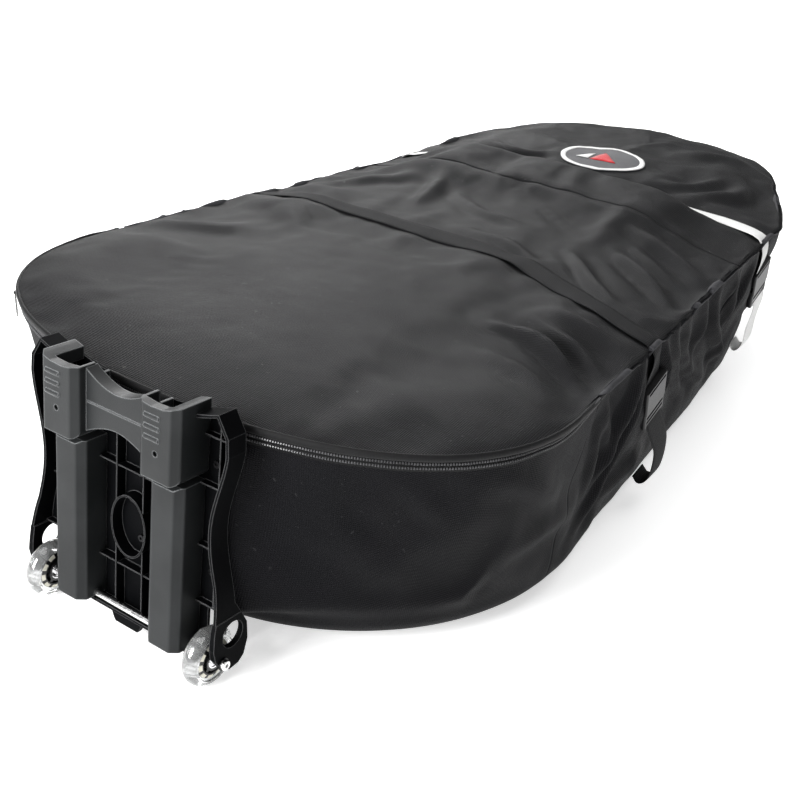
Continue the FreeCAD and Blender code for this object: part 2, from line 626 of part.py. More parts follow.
def buckle_male():
    """Inner half: ladder bars for the lower webbing and three prongs in the housing."""
    body = box(14.6, BUCKLE_END, -BUCKLE_HALF, BUCKLE_HALF, 0, 9)
    body = round_edges(body, 3, lambda e: abs(e.CenterOfMass.y) > BUCKLE_HALF - 1 and e.BoundBox.XLength > 20)
    for x in (21, 32):
        body = body.cut(box(x, x + 6, -21.5, 21.5, -1, 12))
    prongs = [box(-14, 15, y - 2.5, y + 2.5, 3, 7) for y in (-17.5, 0, 17.5)]
    hooks = [box(-12, 1, y - 1.2, y + 1.2, 3, 7) for y in (-20.4, 20.4)]
    return fuse([body] + prongs + hooks)


def make_strap(name):
    spec = STRAPS[name]
    layer = strap_layer()
    plan = strip([V(x, y, 0) for x, y in spec["top"]], WEB_W, V(0, 0, FAR))
    over = layer.common(plan).cut(below_rim(-10))
    place, along = side_frame(name)
    buckle_top = place.multVec(V(-32, 0, 0))
    route = [V(x, 0, z) for x, z in spec["side"]]
    flank = strip(route[:2] + [V(buckle_top.x, 0, buckle_top.z)], WEB_W, V(0, -FAR, 0))
    right = layer.common(flank).common(below_rim(-10)).common(box(-FAR, FAR, -FAR, -200, 0, FAR))
    left_x = spec["top"][0][0]
    left_strip = box(left_x - WEB_W / 2, left_x + WEB_W / 2, 200, FAR, 22, FAR)
    left = layer.common(left_strip).common(below_rim(-10))
    upper = over.multiFuse([right, left]).removeSplitter()
    housing = box(-43, 60, -30, 30, -0.3, 14)
    housing.Placement = place
    upper = upper.cut(housing)
    save(upper, name + "_strap_upper")
    female = buckle_female()
    female.Placement = place
    save(female, name + "_buckle_female")
    male = buckle_male()
    male.Placement = place
    save(male, name + "_buckle_male")
    make_lower_webbing(name, spec, place)
    print(name, "release axis", [round(c, 4) for c in along])


def make_lower_webbing(name, spec, place):
    """Slack webbing from the ladder bar down to a loop and back to the bag's base edge."""
    start = place.multVec(V(BUCKLE_END + 1, 0, 4))
    base = BASE["wide"] + (BASE["narrow"] - BASE["wide"]) * (
        (spec["loop_x"] - BASE["wide_x"]) / (BASE["narrow_x"] - BASE["wide_x"]))
    anchor = V(spec["loop_x"], -base + 8, 38)
    low = V((start.x + anchor.x) / 2 + 6, min(start.y, anchor.y) + 6 - spec["loop_out"] / 4, spec["loop_z"])
    out = V(start.x + 8, start.y - spec["loop_out"] / 3, (start.z + low.z) / 2)
    turn = V(low.x + 6, (low.y + anchor.y) / 2, spec["loop_z"] - 22)
    route = [start, out, low, turn, V(anchor.x, anchor.y - 1.5, anchor.z)]
    pieces = []
    for first, last in zip(route, route[1:]):
        along = (last - first).normalize()
        across = V(1, 0, 0) - along * along.x
        across = across.normalize() * (WEB_W / 2)
        normal = along.cross(across).normalize() * WEB_T
        corner = first - across - normal * 0.5
        pieces.append(prism([corner, corner + across * 2, corner + across * 2 + (last - first),
                             corner + (last - first)], normal))
    ladder = box(-50, BUCKLE_END + 0.3, -34, 34, -4, 14)
    ladder.Placement = place
    save(fuse(pieces).cut(bag_solid(-GAP)).cut(ladder), name + "_strap_lower")


# ---------------------------------------------------------------- patch and tail handle
def make_logo_patch():
    """Thin oval patch sewn on the rear top panel."""
    ellipse = Part.Ellipse(V(0, 84, 0), V(62, 0, 0), V(0, 0, 0))
    face = Part.Face(Part.Wire([ellipse.toShape()]))
    patch = face.extrude(V(0, 0, 1.6))
    angle = math.degrees(math.atan((RIM_Z_FRONT - RIM_Z_TAIL) / (RIM["tail"] - RIM["front"])))
    patch.rotate(V(0, 0, 0), V(0, 1, 0), angle)
    patch.translate(V(PATCH_X, 12, rim_z(PATCH_X) + CROWN + 0.4))
    save(patch, "logo_patch")


def make_tail_handle():
    """Webbing haul handle on the tail gusset, hanging from two stitched patches."""
    pivot_z = 242
    wall_x = BASE["tail"] + (RIM["tail"] - BASE["tail"]) * (pivot_z - BASE_EDGE_Z) / (RIM_Z_TAIL - BASE_EDGE_Z)
    leg_x = wall_x + GAP + 2 * WEB_T
    layer = strap_layer()
    patches = [layer.common(box(500, FAR, y - 30, y + 30, pivot_z - 20, pivot_z + 36)) for y in (-78, 78)]
    save(Part.makeCompound(patches), "tail_handle_patches")
    drop = 92
    legs = [box(leg_x, leg_x + 2.4, y - 19, y + 19, pivot_z - drop - 1, pivot_z) for y in (-78, 78)]
    grip_web = box(leg_x, leg_x + 2.4, -97, 97, pivot_z - drop - 38, pivot_z - drop)
    save(fuse(legs + [grip_web]), "tail_handle_webbing")
    low = pivot_z - drop - 41
    high = pivot_z - drop + 3
    grip = box(leg_x - 3.6, leg_x + 6, -48, 48, low, high)
    grip = grip.cut(box(leg_x - GAP, leg_x + 2.4 + GAP, -98, 98, low + 3 - GAP, high - 3 + GAP))
    save(grip, "tail_handle_wrap")
    print("tail handle pivot", round(leg_x + 1.2, 2), pivot_z)


os.makedirs("parts", exist_ok=True)
make_bag_shell()
make_zip()
make_zip_slider()
make_inner_pieces()
make_chassis_tray()
make_mount_collar()
make_skids()
make_cap_bridge()
make_screws()
make_wheel("left")
make_wheel("right")
make_axle()
make_strap("main")
make_strap("rear")
make_logo_patch()
make_tail_handle()
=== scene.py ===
import bpy
import math
import numpy as np
from mathutils import Matrix, Vector, noise
from mathutils.bvhtree import BVHTree


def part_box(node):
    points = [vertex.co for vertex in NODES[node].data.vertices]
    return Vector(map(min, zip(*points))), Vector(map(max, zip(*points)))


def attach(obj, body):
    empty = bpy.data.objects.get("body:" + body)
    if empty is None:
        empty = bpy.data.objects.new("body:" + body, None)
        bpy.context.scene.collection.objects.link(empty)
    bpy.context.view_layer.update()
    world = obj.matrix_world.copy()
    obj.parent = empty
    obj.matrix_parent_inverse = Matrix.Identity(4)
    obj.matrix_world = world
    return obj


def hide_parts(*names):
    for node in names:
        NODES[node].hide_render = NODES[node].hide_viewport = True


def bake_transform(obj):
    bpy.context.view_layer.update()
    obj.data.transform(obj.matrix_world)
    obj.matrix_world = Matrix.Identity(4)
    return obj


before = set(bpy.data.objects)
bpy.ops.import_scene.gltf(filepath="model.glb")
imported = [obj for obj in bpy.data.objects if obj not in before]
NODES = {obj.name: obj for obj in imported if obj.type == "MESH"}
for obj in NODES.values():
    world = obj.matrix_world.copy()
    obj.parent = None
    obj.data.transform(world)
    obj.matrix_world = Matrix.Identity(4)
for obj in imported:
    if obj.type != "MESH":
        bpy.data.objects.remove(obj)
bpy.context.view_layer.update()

# The bag's outlines and heights, in metres, as in the CAD model.
NARROW_X = .394
RIM = {"front": -.756, "wide_x": -.486, "wide": .413, "power": 2.3,
       "narrow_x": NARROW_X, "narrow": .347, "tail": .774}
BASE = {"front": -.738, "wide_x": -.386, "wide": .372, "power": 2.0,
        "narrow_x": NARROW_X, "narrow": .300, "tail": .739}
EDGE_Z = .050
LID_X = -.419
SEAM_X = .139
SKIRT = .014
AXLE_X = -.806
AXLE_Z = .038
WHEEL_Y = .135
CHASSIS_LEAN = .0857
CROWN = .022


# ---------------------------------------------------------------- materials
def material(name):
    mat = bpy.data.materials.new(name)
    mat.use_nodes = True
    tree = mat.node_tree
    return mat, tree, tree.nodes["Principled BSDF"]


def node(tree, kind, inputs=None, **settings):
    made = tree.nodes.new(kind)
    for key, value in settings.items():
        setattr(made, key, value)
    for key, value in (inputs or {}).items():
        if isinstance(value, bpy.types.NodeSocket):
            tree.links.new(value, made.inputs[key])
        else:
            made.inputs[key].default_value = value
    return made


def ramp(tree, fac, low, high, a=0.0, b=1.0):
    """Map a factor from low..high to the range a..b."""
    made = node(tree, "ShaderNodeMapRange", {0: fac, 1: low, 2: high, 3: a, 4: b})
    return made.outputs[0]


def tint(tree, fac, dark, light):
    made = node(tree, "ShaderNodeMix", {0: fac, 6: (*dark, 1), 7: (*light, 1)}, data_type="RGBA")
    return made.outputs[2]


def tint_link(tree, fac, color, light):
    made = node(tree, "ShaderNodeMix", {0: fac, 6: color, 7: (*light, 1)}, data_type="RGBA")
    return made.outputs[2]

def combine(tree, a, b, how="ADD"):
    return node(tree, "ShaderNodeMath", {0: a, 1: b}, operation=how).outputs[0]

def speckle(tree, vector, scale, detail=2.0, rough=.5):
    """Noise of the given scale, as a factor."""
    made = node(tree, "ShaderNodeTexNoise", {"Vector": vector, "Scale": scale, "Detail": detail,
                                             "Roughness": rough})
    return made.outputs["Fac"]

def surface(tree, bsdf, color, rough, relief):
    """Link a shader's colour, roughness and bump."""
    tree.links.new(color, bsdf.inputs["Base Color"])
    tree.links.new(rough, bsdf.inputs["Roughness"])
    tree.links.new(node(tree, "ShaderNodeBump", relief).outputs[0], bsdf.inputs["Normal"])

WAVE = math.tau / 20    # scale of a wave texture with one wave per metre
DUST = (.11, .11, .11)

def woven(name, dark, light, pitch, depth, rough, sheen, grime=0.0, shine=.13):
    """Woven cloth: two crossing thread waves on the UV map, which is in metres."""
    mat, tree, bsdf = material(name)
    uv = node(tree, "ShaderNodeTexCoord").outputs["UV"]
    position = node(tree, "ShaderNodeTexCoord").outputs["Object"]
    warp, weft = [node(tree, "ShaderNodeTexWave", {"Vector": uv, "Scale": WAVE / pitch, "Distortion": .3},
                       bands_direction=way).outputs["Fac"] for way in "XY"]
    cloud = speckle(tree, position, 5.0, 6.0, .6)
    thread = combine(tree, combine(tree, warp, weft, "MULTIPLY"), speckle(tree, position, 420.0))
    shade = combine(tree, ramp(tree, thread, .3, 1.5, 0, .6), ramp(tree, cloud, .35, .7, 0, .4))
    color = tint(tree, shade, dark, light)
    if grime:
        dust = ramp(tree, speckle(tree, position, 130.0, 1.0), .74, .80, 0, grime)
        color = tint_link(tree, dust, color, DUST)
    surface(tree, bsdf, color, ramp(tree, cloud, .3, .7, rough - .06, rough + .08),
            {"Height": thread, "Strength": .55, "Distance": depth})
    bsdf.inputs["Sheen Weight"].default_value = sheen
    bsdf.inputs["Sheen Roughness"].default_value = .45
    bsdf.inputs["Specular IOR Level"].default_value = shine
    return mat

def webbing_mat(name, dark, light, rough, sheen, shine):
    """Ribbed webbing: ribs across the strap and fine cords along it, on a UV map in metres."""
    mat, tree, bsdf = material(name)
    uv = node(tree, "ShaderNodeTexCoord").outputs["UV"]
    ribs = node(tree, "ShaderNodeTexWave", {"Vector": uv, "Scale": WAVE / .0024, "Distortion": .6,
                                            "Detail": 1.0}, bands_direction="Y")
    cords = node(tree, "ShaderNodeTexWave", {"Vector": uv, "Scale": WAVE / .0032}, bands_direction="X")
    both = combine(tree, ribs.outputs["Fac"], cords.outputs["Fac"])
    fleck = speckle(tree, uv, 900.0)
    fac = combine(tree, ramp(tree, both, 0, 2, 0, .7), ramp(tree, fleck, .4, .6, 0, .3))
    surface(tree, bsdf, tint(tree, fac, dark, light), ramp(tree, fleck, .3, .7, rough - .08, rough + .08),
            {"Height": both, "Strength": .8, "Distance": .0005})
    bsdf.inputs["Sheen Weight"].default_value = sheen
    bsdf.inputs["Specular IOR Level"].default_value = shine
    return mat

def moulded(name, dark, light, rough, grain=.00012, grain_scale=900.0, edge=.0009, edge_highlight=.35, shine=.5):
    """Moulded plastic with a fine grain and softened edges that catch light; a painted highlight lightens the
    colour along the edges.
    """
    mat, tree, bsdf = material(name)
    position = node(tree, "ShaderNodeTexCoord").outputs["Object"]
    fine = speckle(tree, position, grain_scale, 3.0)
    cloud = speckle(tree, position, 14.0, 5.0)
    soft = node(tree, "ShaderNodeBevel", {"Radius": edge}, samples=4).outputs[0]
    sharp = node(tree, "ShaderNodeNewGeometry").outputs["Normal"]
    turn = node(tree, "ShaderNodeVectorMath", {0: soft, 1: sharp}, operation="DOT_PRODUCT")
    # Painted highlight: where the bevelled normal turns away from the true one, along the edges, the colour
    # is mixed toward a much lighter grey.
    rim = ramp(tree, turn.outputs["Value"], 1.0, .86, 0, edge_highlight)
    body = tint(tree, ramp(tree, cloud, .35, .65), dark, light)
    edge_lit_color = tint_link(tree, rim, body, tuple(min(1, c * 6 + .10) for c in light))
    surface(tree, bsdf, edge_lit_color, ramp(tree, fine, .3, .7, rough - .08, rough + .1),
            {"Height": fine, "Strength": .7, "Distance": grain, "Normal": soft})
    bsdf.inputs["Specular IOR Level"].default_value = shine
    return mat

def metal(name, color, rough):
    mat, tree, bsdf = material(name)
    lines = speckle(tree, node(tree, "ShaderNodeTexCoord").outputs["Object"], 260.0)
    shade = tint(tree, lines, tuple(c * .85 for c in color), color)
    tree.links.new(shade, bsdf.inputs["Base Color"])
    tree.links.new(ramp(tree, lines, .3, .7, rough * .7, rough * 1.3), bsdf.inputs["Roughness"])
    bsdf.inputs["Metallic"].default_value = 1.0
    soft = node(tree, "ShaderNodeBevel", {"Radius": .0004}, samples=4)
    tree.links.new(soft.outputs[0], bsdf.inputs["Normal"])
    return mat

def clear_urethane(name):
    mat, tree, bsdf = material(name)
    haze = speckle(tree, node(tree, "ShaderNodeTexCoord").outputs["Object"], 60.0, 3.0)
    tree.links.new(tint(tree, haze, (.86, .88, .88), (.97, .98, .97)), bsdf.inputs["Base Color"])
    tree.links.new(ramp(tree, haze, .35, .7, .01, .05), bsdf.inputs["Roughness"])
    bsdf.inputs["Transmission Weight"].default_value = .91
    bsdf.inputs["IOR"].default_value = 1.42
    bsdf.inputs["Coat Weight"].default_value = 1.0
    bsdf.inputs["Coat Roughness"].default_value = .02
    return mat

MAT = {
    "cloth": woven("cloth_black", (.0035, .0035, .004), (.0125, .0125, .0138), .0023, .0012, .56, .02, .3),
    # Painted shade: the walls and base use a darker copy of the top cloth's colour, standing in for the shade
    # on the walls.
    "gusset": woven("cloth_gusset_painted_shade", (.0022, .0022, .0028), (.0068, .0068, .0082), .0027, .0012, .54,
                    .008, .10, .05),
    "hem": woven("hem_tape", (.0028, .0028, .003), (.0085, .0085, .0092), .0016, .0004, .55, .03),
    "lining": woven("lining_grey", (.02, .02, .022), (.045, .045, .05), .0024, .0004, .7, .05),
    "foam": woven("foam_lining", (.018, .018, .02), (.04, .04, .045), .003, .0006, .75, .3),
    "tape": woven("zip_tape_cloth", (.0015, .0015, .0017), (.0045, .0045, .005), .0013, .0003, .65, .0),
    "web_black": webbing_mat("webbing_black", (.0035, .0035, .004), (.0125, .0125, .0135), .7, 0.0, .15),
    "web_white": webbing_mat("webbing_white", (.70, .70, .69), (.93, .93, .92), .6, .1, .4),
    "chassis": moulded("moulded_grain", (.0008, .0009, .0012), (.0020, .0022, .0026), .62, .00022,
                       1100.0, .0016, .9, .03),
    "skid": moulded("moulded_satin", (.0105, .0114, .0119), (.0175, .0188, .0195), .42, .00014, 1200.0,
                    .0022, .9, .13),
    "cap": moulded("moulded_cap", (.0100, .0109, .0114), (.0168, .0180, .0187), .38, .00022, 1000.0,
                   .0022, .9, .16),
    "buckle": moulded("moulded_buckle", (.003, .003, .0035), (.006, .006, .0065), .34, .00004, 1500.0,
                      .0007, .3, .22),
    "core": moulded("moulded_core", (.006, .006, .0065), (.012, .012, .013), .25, .00004, 1500.0, .0006, .15),
    # Painted highlight: the black nylon coil is coloured light grey, standing in for the glint on its glossy
    # loops.
    "coil": moulded("zip_coil_painted_highlight", (.035, .035, .037), (.07, .07, .073), .20, .00003, 1500.0, .0003, .3),
    "sheet": moulded("stiffener_sheet", (.08, .08, .085), (.12, .12, .125), .5, .0001, 300.0),
    "enamel": moulded("black_enamel", (.008, .008, .008), (.016, .016, .016), .22, .00003, 1500.0, .0005, .3),
    "steel": metal("bright_steel", (.80, .80, .80), .22),
    "chrome": metal("bearing_chrome", (.86, .86, .87), .12),
    "oxide": metal("black_oxide", (.02, .02, .021), .35),
    "clear": clear_urethane("clear_urethane"),
    "cream": moulded("cream_insert", (.62, .60, .50), (.80, .78, .68), .45, .00005, 700.0, .0004, .05),
    "patch_grey": woven("patch_field", (.055, .055, .06), (.10, .10, .105), .0016, .0003, .6, .2),
    "patch_white": woven("patch_white_thread", (.74, .74, .73), (.93, .93, .92), .0013, .0003, .55, .3),
    "patch_red": woven("patch_red_thread", (.45, .012, .018), (.68, .025, .035), .0013, .0003, .55, .3),
}

CAD_LOOK = {
    "chassis": ["chassis_tray"],
    "cap": ["cap_bridge"],
    "skid": ["skid_left", "skid_right"],
    "buckle": ["main_buckle_female", "main_buckle_male", "rear_buckle_female", "rear_buckle_male",
               "inner_tie_buckles"],
    "core": ["wheel_left_core", "wheel_right_core"],
    "clear": ["wheel_left_tyre", "wheel_right_tyre"],
    "chrome": ["wheel_left_bearings", "wheel_right_bearings"],
    "steel": ["wheel_left_sleeve", "wheel_right_sleeve", "axle_rod", "axle_spacers", "axle_bolts"],
    "oxide": ["axle_washers", "cap_screws", "chassis_screws"],
    "enamel": ["zip_slider", "zip_pull"],
    "sheet": ["base_stiffener", "backing_plate"],
}


for look, names in CAD_LOOK.items():
    for name in names:
        NODES[name].data.materials.clear()
        NODES[name].data.materials.append(MAT[look])


# ---------------------------------------------------------------- mesh helpers
def mesh_object(name, verts, faces, mat, uv=None, smooth=True):
    mesh = bpy.data.meshes.new(name)
    mesh.from_pydata([tuple(map(float, v)) for v in verts], [], [tuple(map(int, f)) for f in faces])
    mesh.polygons.foreach_set("use_smooth", [smooth] * len(mesh.polygons))
    if uv is not None:
        layer = mesh.uv_layers.new(name="UVMap")
        index = np.zeros(len(mesh.loops), np.int32)
        mesh.loops.foreach_get("vertex_index", index)
        layer.data.foreach_set("uv", np.asarray(uv, np.float32)[index].ravel())
    mesh.materials.append(mat)
    obj = bpy.data.objects.new(name, mesh)
    bpy.context.scene.collection.objects.link(obj)
    return obj


def modifier(obj, kind, **settings):
    made = obj.modifiers.new(kind.title(), kind)
    for key, value in settings.items():
        setattr(made, key, value)
    return made


def apply_modifiers(obj):
    made = bpy.data.meshes.new_from_object(obj.evaluated_get(bpy.context.evaluated_depsgraph_get()))
    obj.modifiers.clear()
    obj.data = made
    return obj


def arc_length(path):
    return np.r_[0, np.cumsum(np.linalg.norm(np.diff(path, axis=0), axis=1))]

def unit(vectors):
    return vectors / np.linalg.norm(vectors, axis=-1, keepdims=True)

def tube_faces(loops, size):
    """Faces of a tube from lines of points that run along it, with a cap at each end."""
    faces = []
    for k in range(loops):
        n = (k + 1) % loops
        for i in range(size - 1):
            faces.append((k * size + i, k * size + i + 1, n * size + i + 1, n * size + i))
    faces.append(tuple(k * size for k in range(loops))[::-1])
    faces.append(tuple(k * size + size - 1 for k in range(loops)))
    return faces

def ring_faces(rings, size):
    """Faces between closed rings of points, one ring after another."""
    faces = []
    for k in range(rings - 1):
        for i in range(size):
            n = (i + 1) % size
            faces.append((k * size + i, k * size + n, (k + 1) * size + n, (k + 1) * size + i))
    return faces

def catmull(points, per_span):
    """Smooth curve through the points."""
    pts = [np.array(p, float) for p in points]
    pts = [2 * pts[0] - pts[1]] + pts + [2 * pts[-1] - pts[-2]]
    out = []
    for a, b, c, d in zip(pts, pts[1:], pts[2:], pts[3:]):
        for i in range(per_span):
            t = i / per_span
            out.append(.5 * (2 * b + (c - a) * t + (2 * a - 5 * b + 4 * c - d) * t * t
                             + (3 * b - a - 3 * c + d) * t ** 3))
    out.append(pts[-2])
    return np.array(out)


def resample(path, step):
    lengths = arc_length(path)
    count = max(2, int(round(lengths[-1] / step)) + 1)
    at = np.linspace(0, lengths[-1], count)
    return np.stack([np.interp(at, lengths, path[:, k]) for k in range(3)], 1)


# ---------------------------------------------------------------- the bag's skin as one grid
def rim_z(x):
    return .325 - .023 * (x + .756) / 1.53


def half_outline(share, inset):
    k = {q: BASE[q] + (RIM[q] - BASE[q]) * share for q in RIM}
    turn = np.linspace(0, math.pi / 2, 240)
    power = 2 / k["power"]
    nose = np.stack([k["wide_x"] - (k["wide_x"] - k["front"] - inset) * np.cos(turn) ** power,
                     (k["wide"] - inset) * np.sin(turn) ** power], 1)
    tail = np.stack([k["narrow_x"] + (k["tail"] - k["narrow_x"] - inset) * np.sin(turn),
                     (k["narrow"] - inset) * np.cos(turn)], 1)
    return np.vstack([nose, tail])


COUNTS = [84, 58, 26, 62]
HALF = sum(COUNTS)
COL_LID = COUNTS[0]
COL_SEAM = COL_LID + COUNTS[1]


def ring(share, inset):
    """Points round the bag, from the nose tip by +Y to the tail tip and back by -Y."""
    line = half_outline(share, inset)
    run = arc_length(line)
    marks = [0] + [np.interp(x, line[:, 0], run) for x in (LID_X, SEAM_X, NARROW_X)] + [run[-1]]
    at = np.concatenate([np.linspace(a, b, n, endpoint=False) for a, b, n in zip(marks, marks[1:], COUNTS)]
                        + [[run[-1]]])
    half = np.stack([np.interp(at, run, line[:, 0]), np.interp(at, run, line[:, 1])], 1)
    other = half[-2:0:-1] * (1, -1)
    return np.vstack([half, other])


def spine_x(x):
    """Where the cross line through a point of the outline meets the bag's middle line."""
    tail = np.where(x > NARROW_X, NARROW_X + (x - NARROW_X) * .5, x)
    return np.where(x < LID_X, LID_X + (x - LID_X) * .42, tail)

def falloff(value):
    return np.clip(value, 0, 1) ** 2 * (3 - 2 * np.clip(value, 0, 1))


def bump(x, centre, left, right):
    """Bell with its own width on each side."""
    d = (x - centre) / np.where(x < centre, left, right)
    return np.exp(-d * d)


def top_relief(x, y):
    """Height of the top's humps and hollows above its even crown."""
    across = falloff((.36 - np.abs(y)) / .16)
    end = np.where(y < 0, .300, .345)
    hump = .034 * bump(x, .228, .16, .045) * falloff((end - np.abs(y)) / .15)
    valley = -.013 * bump(x, .300, .040, .050) * across
    behind = .010 * bump(x, .455, .10, .20) * across
    lid = .008 * bump(x, -.44, .20, .17) * bump(y, 0, .22, .22)
    return hump + valley + behind + lid


WALL_HEIGHT = .275
WALL_STEPS = [0, .003, .006, .010, .014, .0175, .022, .029, .037, .046]
WALL_STEPS += list(np.arange(.056, .271, .0098)) + [WALL_HEIGHT]
TOP_STEPS = np.array([.003, .006, .010, .015, .022, .030] + list(np.arange(.039, .40, .0093)) + [.40]) / .40
ROW_BASE = 5
ROW_ROUND = 6


def skirt_squeeze(d, x, low=.22):
    """Near its ends the zip climbs to the rim, so the skirt above it gets narrower there."""
    narrow = 1 - (1 - low) * falloff((x + .535) / .11)
    squeezed = d * narrow
    rest = SKIRT * narrow + (d - SKIRT) * (WALL_HEIGHT - SKIRT * narrow) / (WALL_HEIGHT - SKIRT)
    return np.where(d <= SKIRT, squeezed, rest)


def nose_collar(points):
    """The nose's fabric comes forward to the chassis flanges."""
    x, y, z = points[..., 0], points[..., 1], points[..., 2]
    lean = (z - AXLE_Z) * CHASSIS_LEAN
    reach = AXLE_X + .0228 + lean + np.clip(np.abs(y) - .137, 0, None) * 1.02
    band = falloff((z - .052) / .035) * falloff((.313 - z) / .030)
    soft = .012
    blend = np.clip(.5 + (x - reach) / (2 * soft), 0, 1)
    forward = x * (1 - blend) + reach * blend - soft * blend * (1 - blend)
    points[..., 0] = np.where(x < -.55, x + (forward - x) * band, x)
    return points


def settle(points):
    """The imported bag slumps: its right flank draws in near the tail, its left beside the seam."""
    x, y = points[..., 0], points[..., 1]
    right = np.interp(x, [.37, .43, .50, .57, .64, .71, .78], [0, .018, .036, .043, .030, .008, 0])
    left = np.interp(x, [-.40, -.22, -.08, .06, .19, .29, .42, .55, .68, .78],
                     [0, .004, .020, .018, .028, .022, .011, .010, 0, -.004])
    pull = np.where(y < 0, right, -left) * falloff(np.abs(y) / .26)
    points[..., 1] = y + pull
    return points


def build_grid():
    rows = []
    base_ring = ring(0, .060)
    for k in range(ROW_BASE):
        share = k / ROW_BASE
        sx = spine_x(base_ring[:, 0])
        x = sx + (base_ring[:, 0] - sx) * share
        y = base_ring[:, 1] * share
        rows.append(np.stack([x, y, np.full_like(x, .0)], 1))
    for k in range(ROW_ROUND):
        turn = math.pi / 2 * k / ROW_ROUND
        flat = ring(0, .060 * (1 - math.sin(turn) ** 1.25))
        rows.append(np.column_stack([flat, np.full(len(flat), EDGE_Z * (1 - math.cos(turn)))]))
    for d in WALL_STEPS[::-1]:
        shares = 1 - skirt_squeeze(np.float64(d), ring(1, 0)[:, 0]) / WALL_HEIGHT
        low = ring(0, 0)
        high = ring(1, 0)
        flat = low + (high - low) * shares[:, None]
        puff = .006 * np.sin(math.pi * np.clip(shares, 0, 1)) ** .8
        out = flat - np.column_stack([spine_x(flat[:, 0]), np.zeros(len(flat))])
        out = unit(out)
        flat = flat + out * puff[:, None]
        z = EDGE_Z + (rim_z(flat[:, 0]) - EDGE_Z) * shares
        rows.append(np.column_stack([flat, z]))
    edge = rows[-1]
    for f in TOP_STEPS:
        sx = spine_x(edge[:, 0])
        x = edge[:, 0] + (sx - edge[:, 0]) * f
        y = edge[:, 1] * (1 - f)
        gap = np.hypot(edge[:, 0] - x, edge[:, 1] - y)
        lift = CROWN * (1 - (1 - np.clip(gap / .15, 0, 1)) ** 2.2)
        z = rim_z(x) + lift + top_relief(x, y) * falloff(gap / .08)
        rows.append(np.stack([x, y, z], 1))
    return np.array(rows)


ROW_WALL = ROW_BASE + ROW_ROUND
ROW_RIM = ROW_WALL + len(WALL_STEPS) - 1
ROW_SKIRT = ROW_RIM - WALL_STEPS.index(.014)


def grid_normals(grid):
    along = np.roll(grid, -1, 1) - np.roll(grid, 1, 1)
    up = np.zeros_like(grid)
    up[1:-1] = grid[2:] - grid[:-2]
    up[0] = grid[1] - grid[0]
    up[-1] = grid[-1] - grid[-2]
    n = np.cross(up, along)
    n[-1] = (0, 0, 1)
    length = np.linalg.norm(n, axis=2)[..., None]
    return n / np.maximum(length, 1e-9)


def fold(grid, normals, path, width, height, skew=1.0):
    """Displacement of one fold of the cloth along a path; skew makes one flank steeper."""
    line = resample(catmull(settle(np.array(path, float)), 8), .012)
    best = np.full(grid.shape[:2], 9.0)
    side = np.zeros(grid.shape[:2])
    place = np.zeros(grid.shape[:2])
    low = line.min(0) - 3.2 * width
    high = line.max(0) + 3.2 * width
    near = np.all((grid > low) & (grid < high), axis=2)
    points = grid[near]
    if not len(points):
        return np.zeros(grid.shape[:2])
    local_n = normals[near]
    b = np.full(len(points), 9.0)
    s = np.zeros(len(points))
    t = np.zeros(len(points))
    for i, (p, q) in enumerate(zip(line, line[1:])):
        seg = q - p
        u = np.clip(((points - p) @ seg) / (seg @ seg), 0, 1)
        away = points - (p + u[:, None] * seg)
        dist = np.linalg.norm(away, axis=1)
        closer = dist < b
        b = np.where(closer, dist, b)
        sign = np.sign(np.einsum("ij,ij->i", np.cross(seg, away), local_n))
        s = np.where(closer, sign, s)
        t = np.where(closer, (i + u) / (len(line) - 1), t)
    best[near] = b
    side[near] = s
    place[near] = t
    flank = np.where(side > 0, width, width / skew)
    taper = np.sin(math.pi * np.clip(place, 0.02, .98)) ** .7
    shape = np.exp(-(best / flank) ** 2) - .45 * np.exp(-((best - 1.9 * flank) / (1.1 * flank)) ** 2)
    return height * taper * shape


# Folds of the cloth: path, half width, height, steepness.
FOLD_GAIN = 1.6
TOP_FOLDS = [
    ([(.175, .16), (.11, .01), (.03, -.135)], .011, .0075, 1.7),
    ([(.06, .13), (.015, .04), (-.005, -.06)], .013, .006, 1.5),
    ([(.12, .20), (.05, .16), (-.03, .15)], .016, .006, 1.3),
    ([(-.04, -.16), (-.13, -.24), (-.19, -.31)], .013, .008, 1.8),
    ([(.01, -.21), (-.06, -.31), (-.11, -.36)], .015, .009, 1.5),
    ([(.045, -.22), (-.02, -.33)], .012, .006, 1.4),
    ([(.10, -.16), (.07, -.27), (.03, -.345)], .016, .006, 1.3),
    ([(-.07, .02), (-.10, -.09), (-.145, -.18)], .014, .005, 1.4),
    ([(-.36, -.20), (-.356, -.267), (-.38, -.32), (-.43, -.395)], .013, .0085, 1.6),
    ([(-.352, -.262), (-.378, -.33), (-.405, -.388)], .011, .007, 1.6),
    ([(-.315, -.27), (-.34, -.334), (-.372, -.392)], .014, .0085, 1.5),
    ([(-.27, -.25), (-.285, -.32), (-.30, -.385)], .014, .006, 1.3),
    ([(-.44, -.24), (-.45, -.31), (-.47, -.38)], .018, .0045, 1.2),
    ([(.25, .20), (.236, .0), (.25, -.20)], .014, .005, 1.6),
    ([(.40, .28), (.36, .18), (.385, .10)], .016, .007, 1.4),
    ([(.36, -.115), (.39, -.18), (.47, -.225)], .016, .007, 1.5),
    ([(.35, -.20), (.42, -.26), (.50, -.27)], .018, .006, 1.3),
    ([(.36, -.10), (.41, -.12), (.50, -.14)], .02, .003, 1.2),
    ([(.55, -.08), (.60, -.15), (.62, -.22)], .022, .004, 1.2),
    ([(-.05, .34), (.02, .29), (.08, .20)], .016, .004, 1.3),
    ([(-.20, .34), (-.22, .26), (-.26, .18)], .022, .0022, 1.2),
    ([(-.38, .37), (-.35, .30), (-.31, .24)], .018, .0030, 1.2),
    ([(.18, .30), (.20, .22), (.21, .14)], .016, .006, 1.3),
]
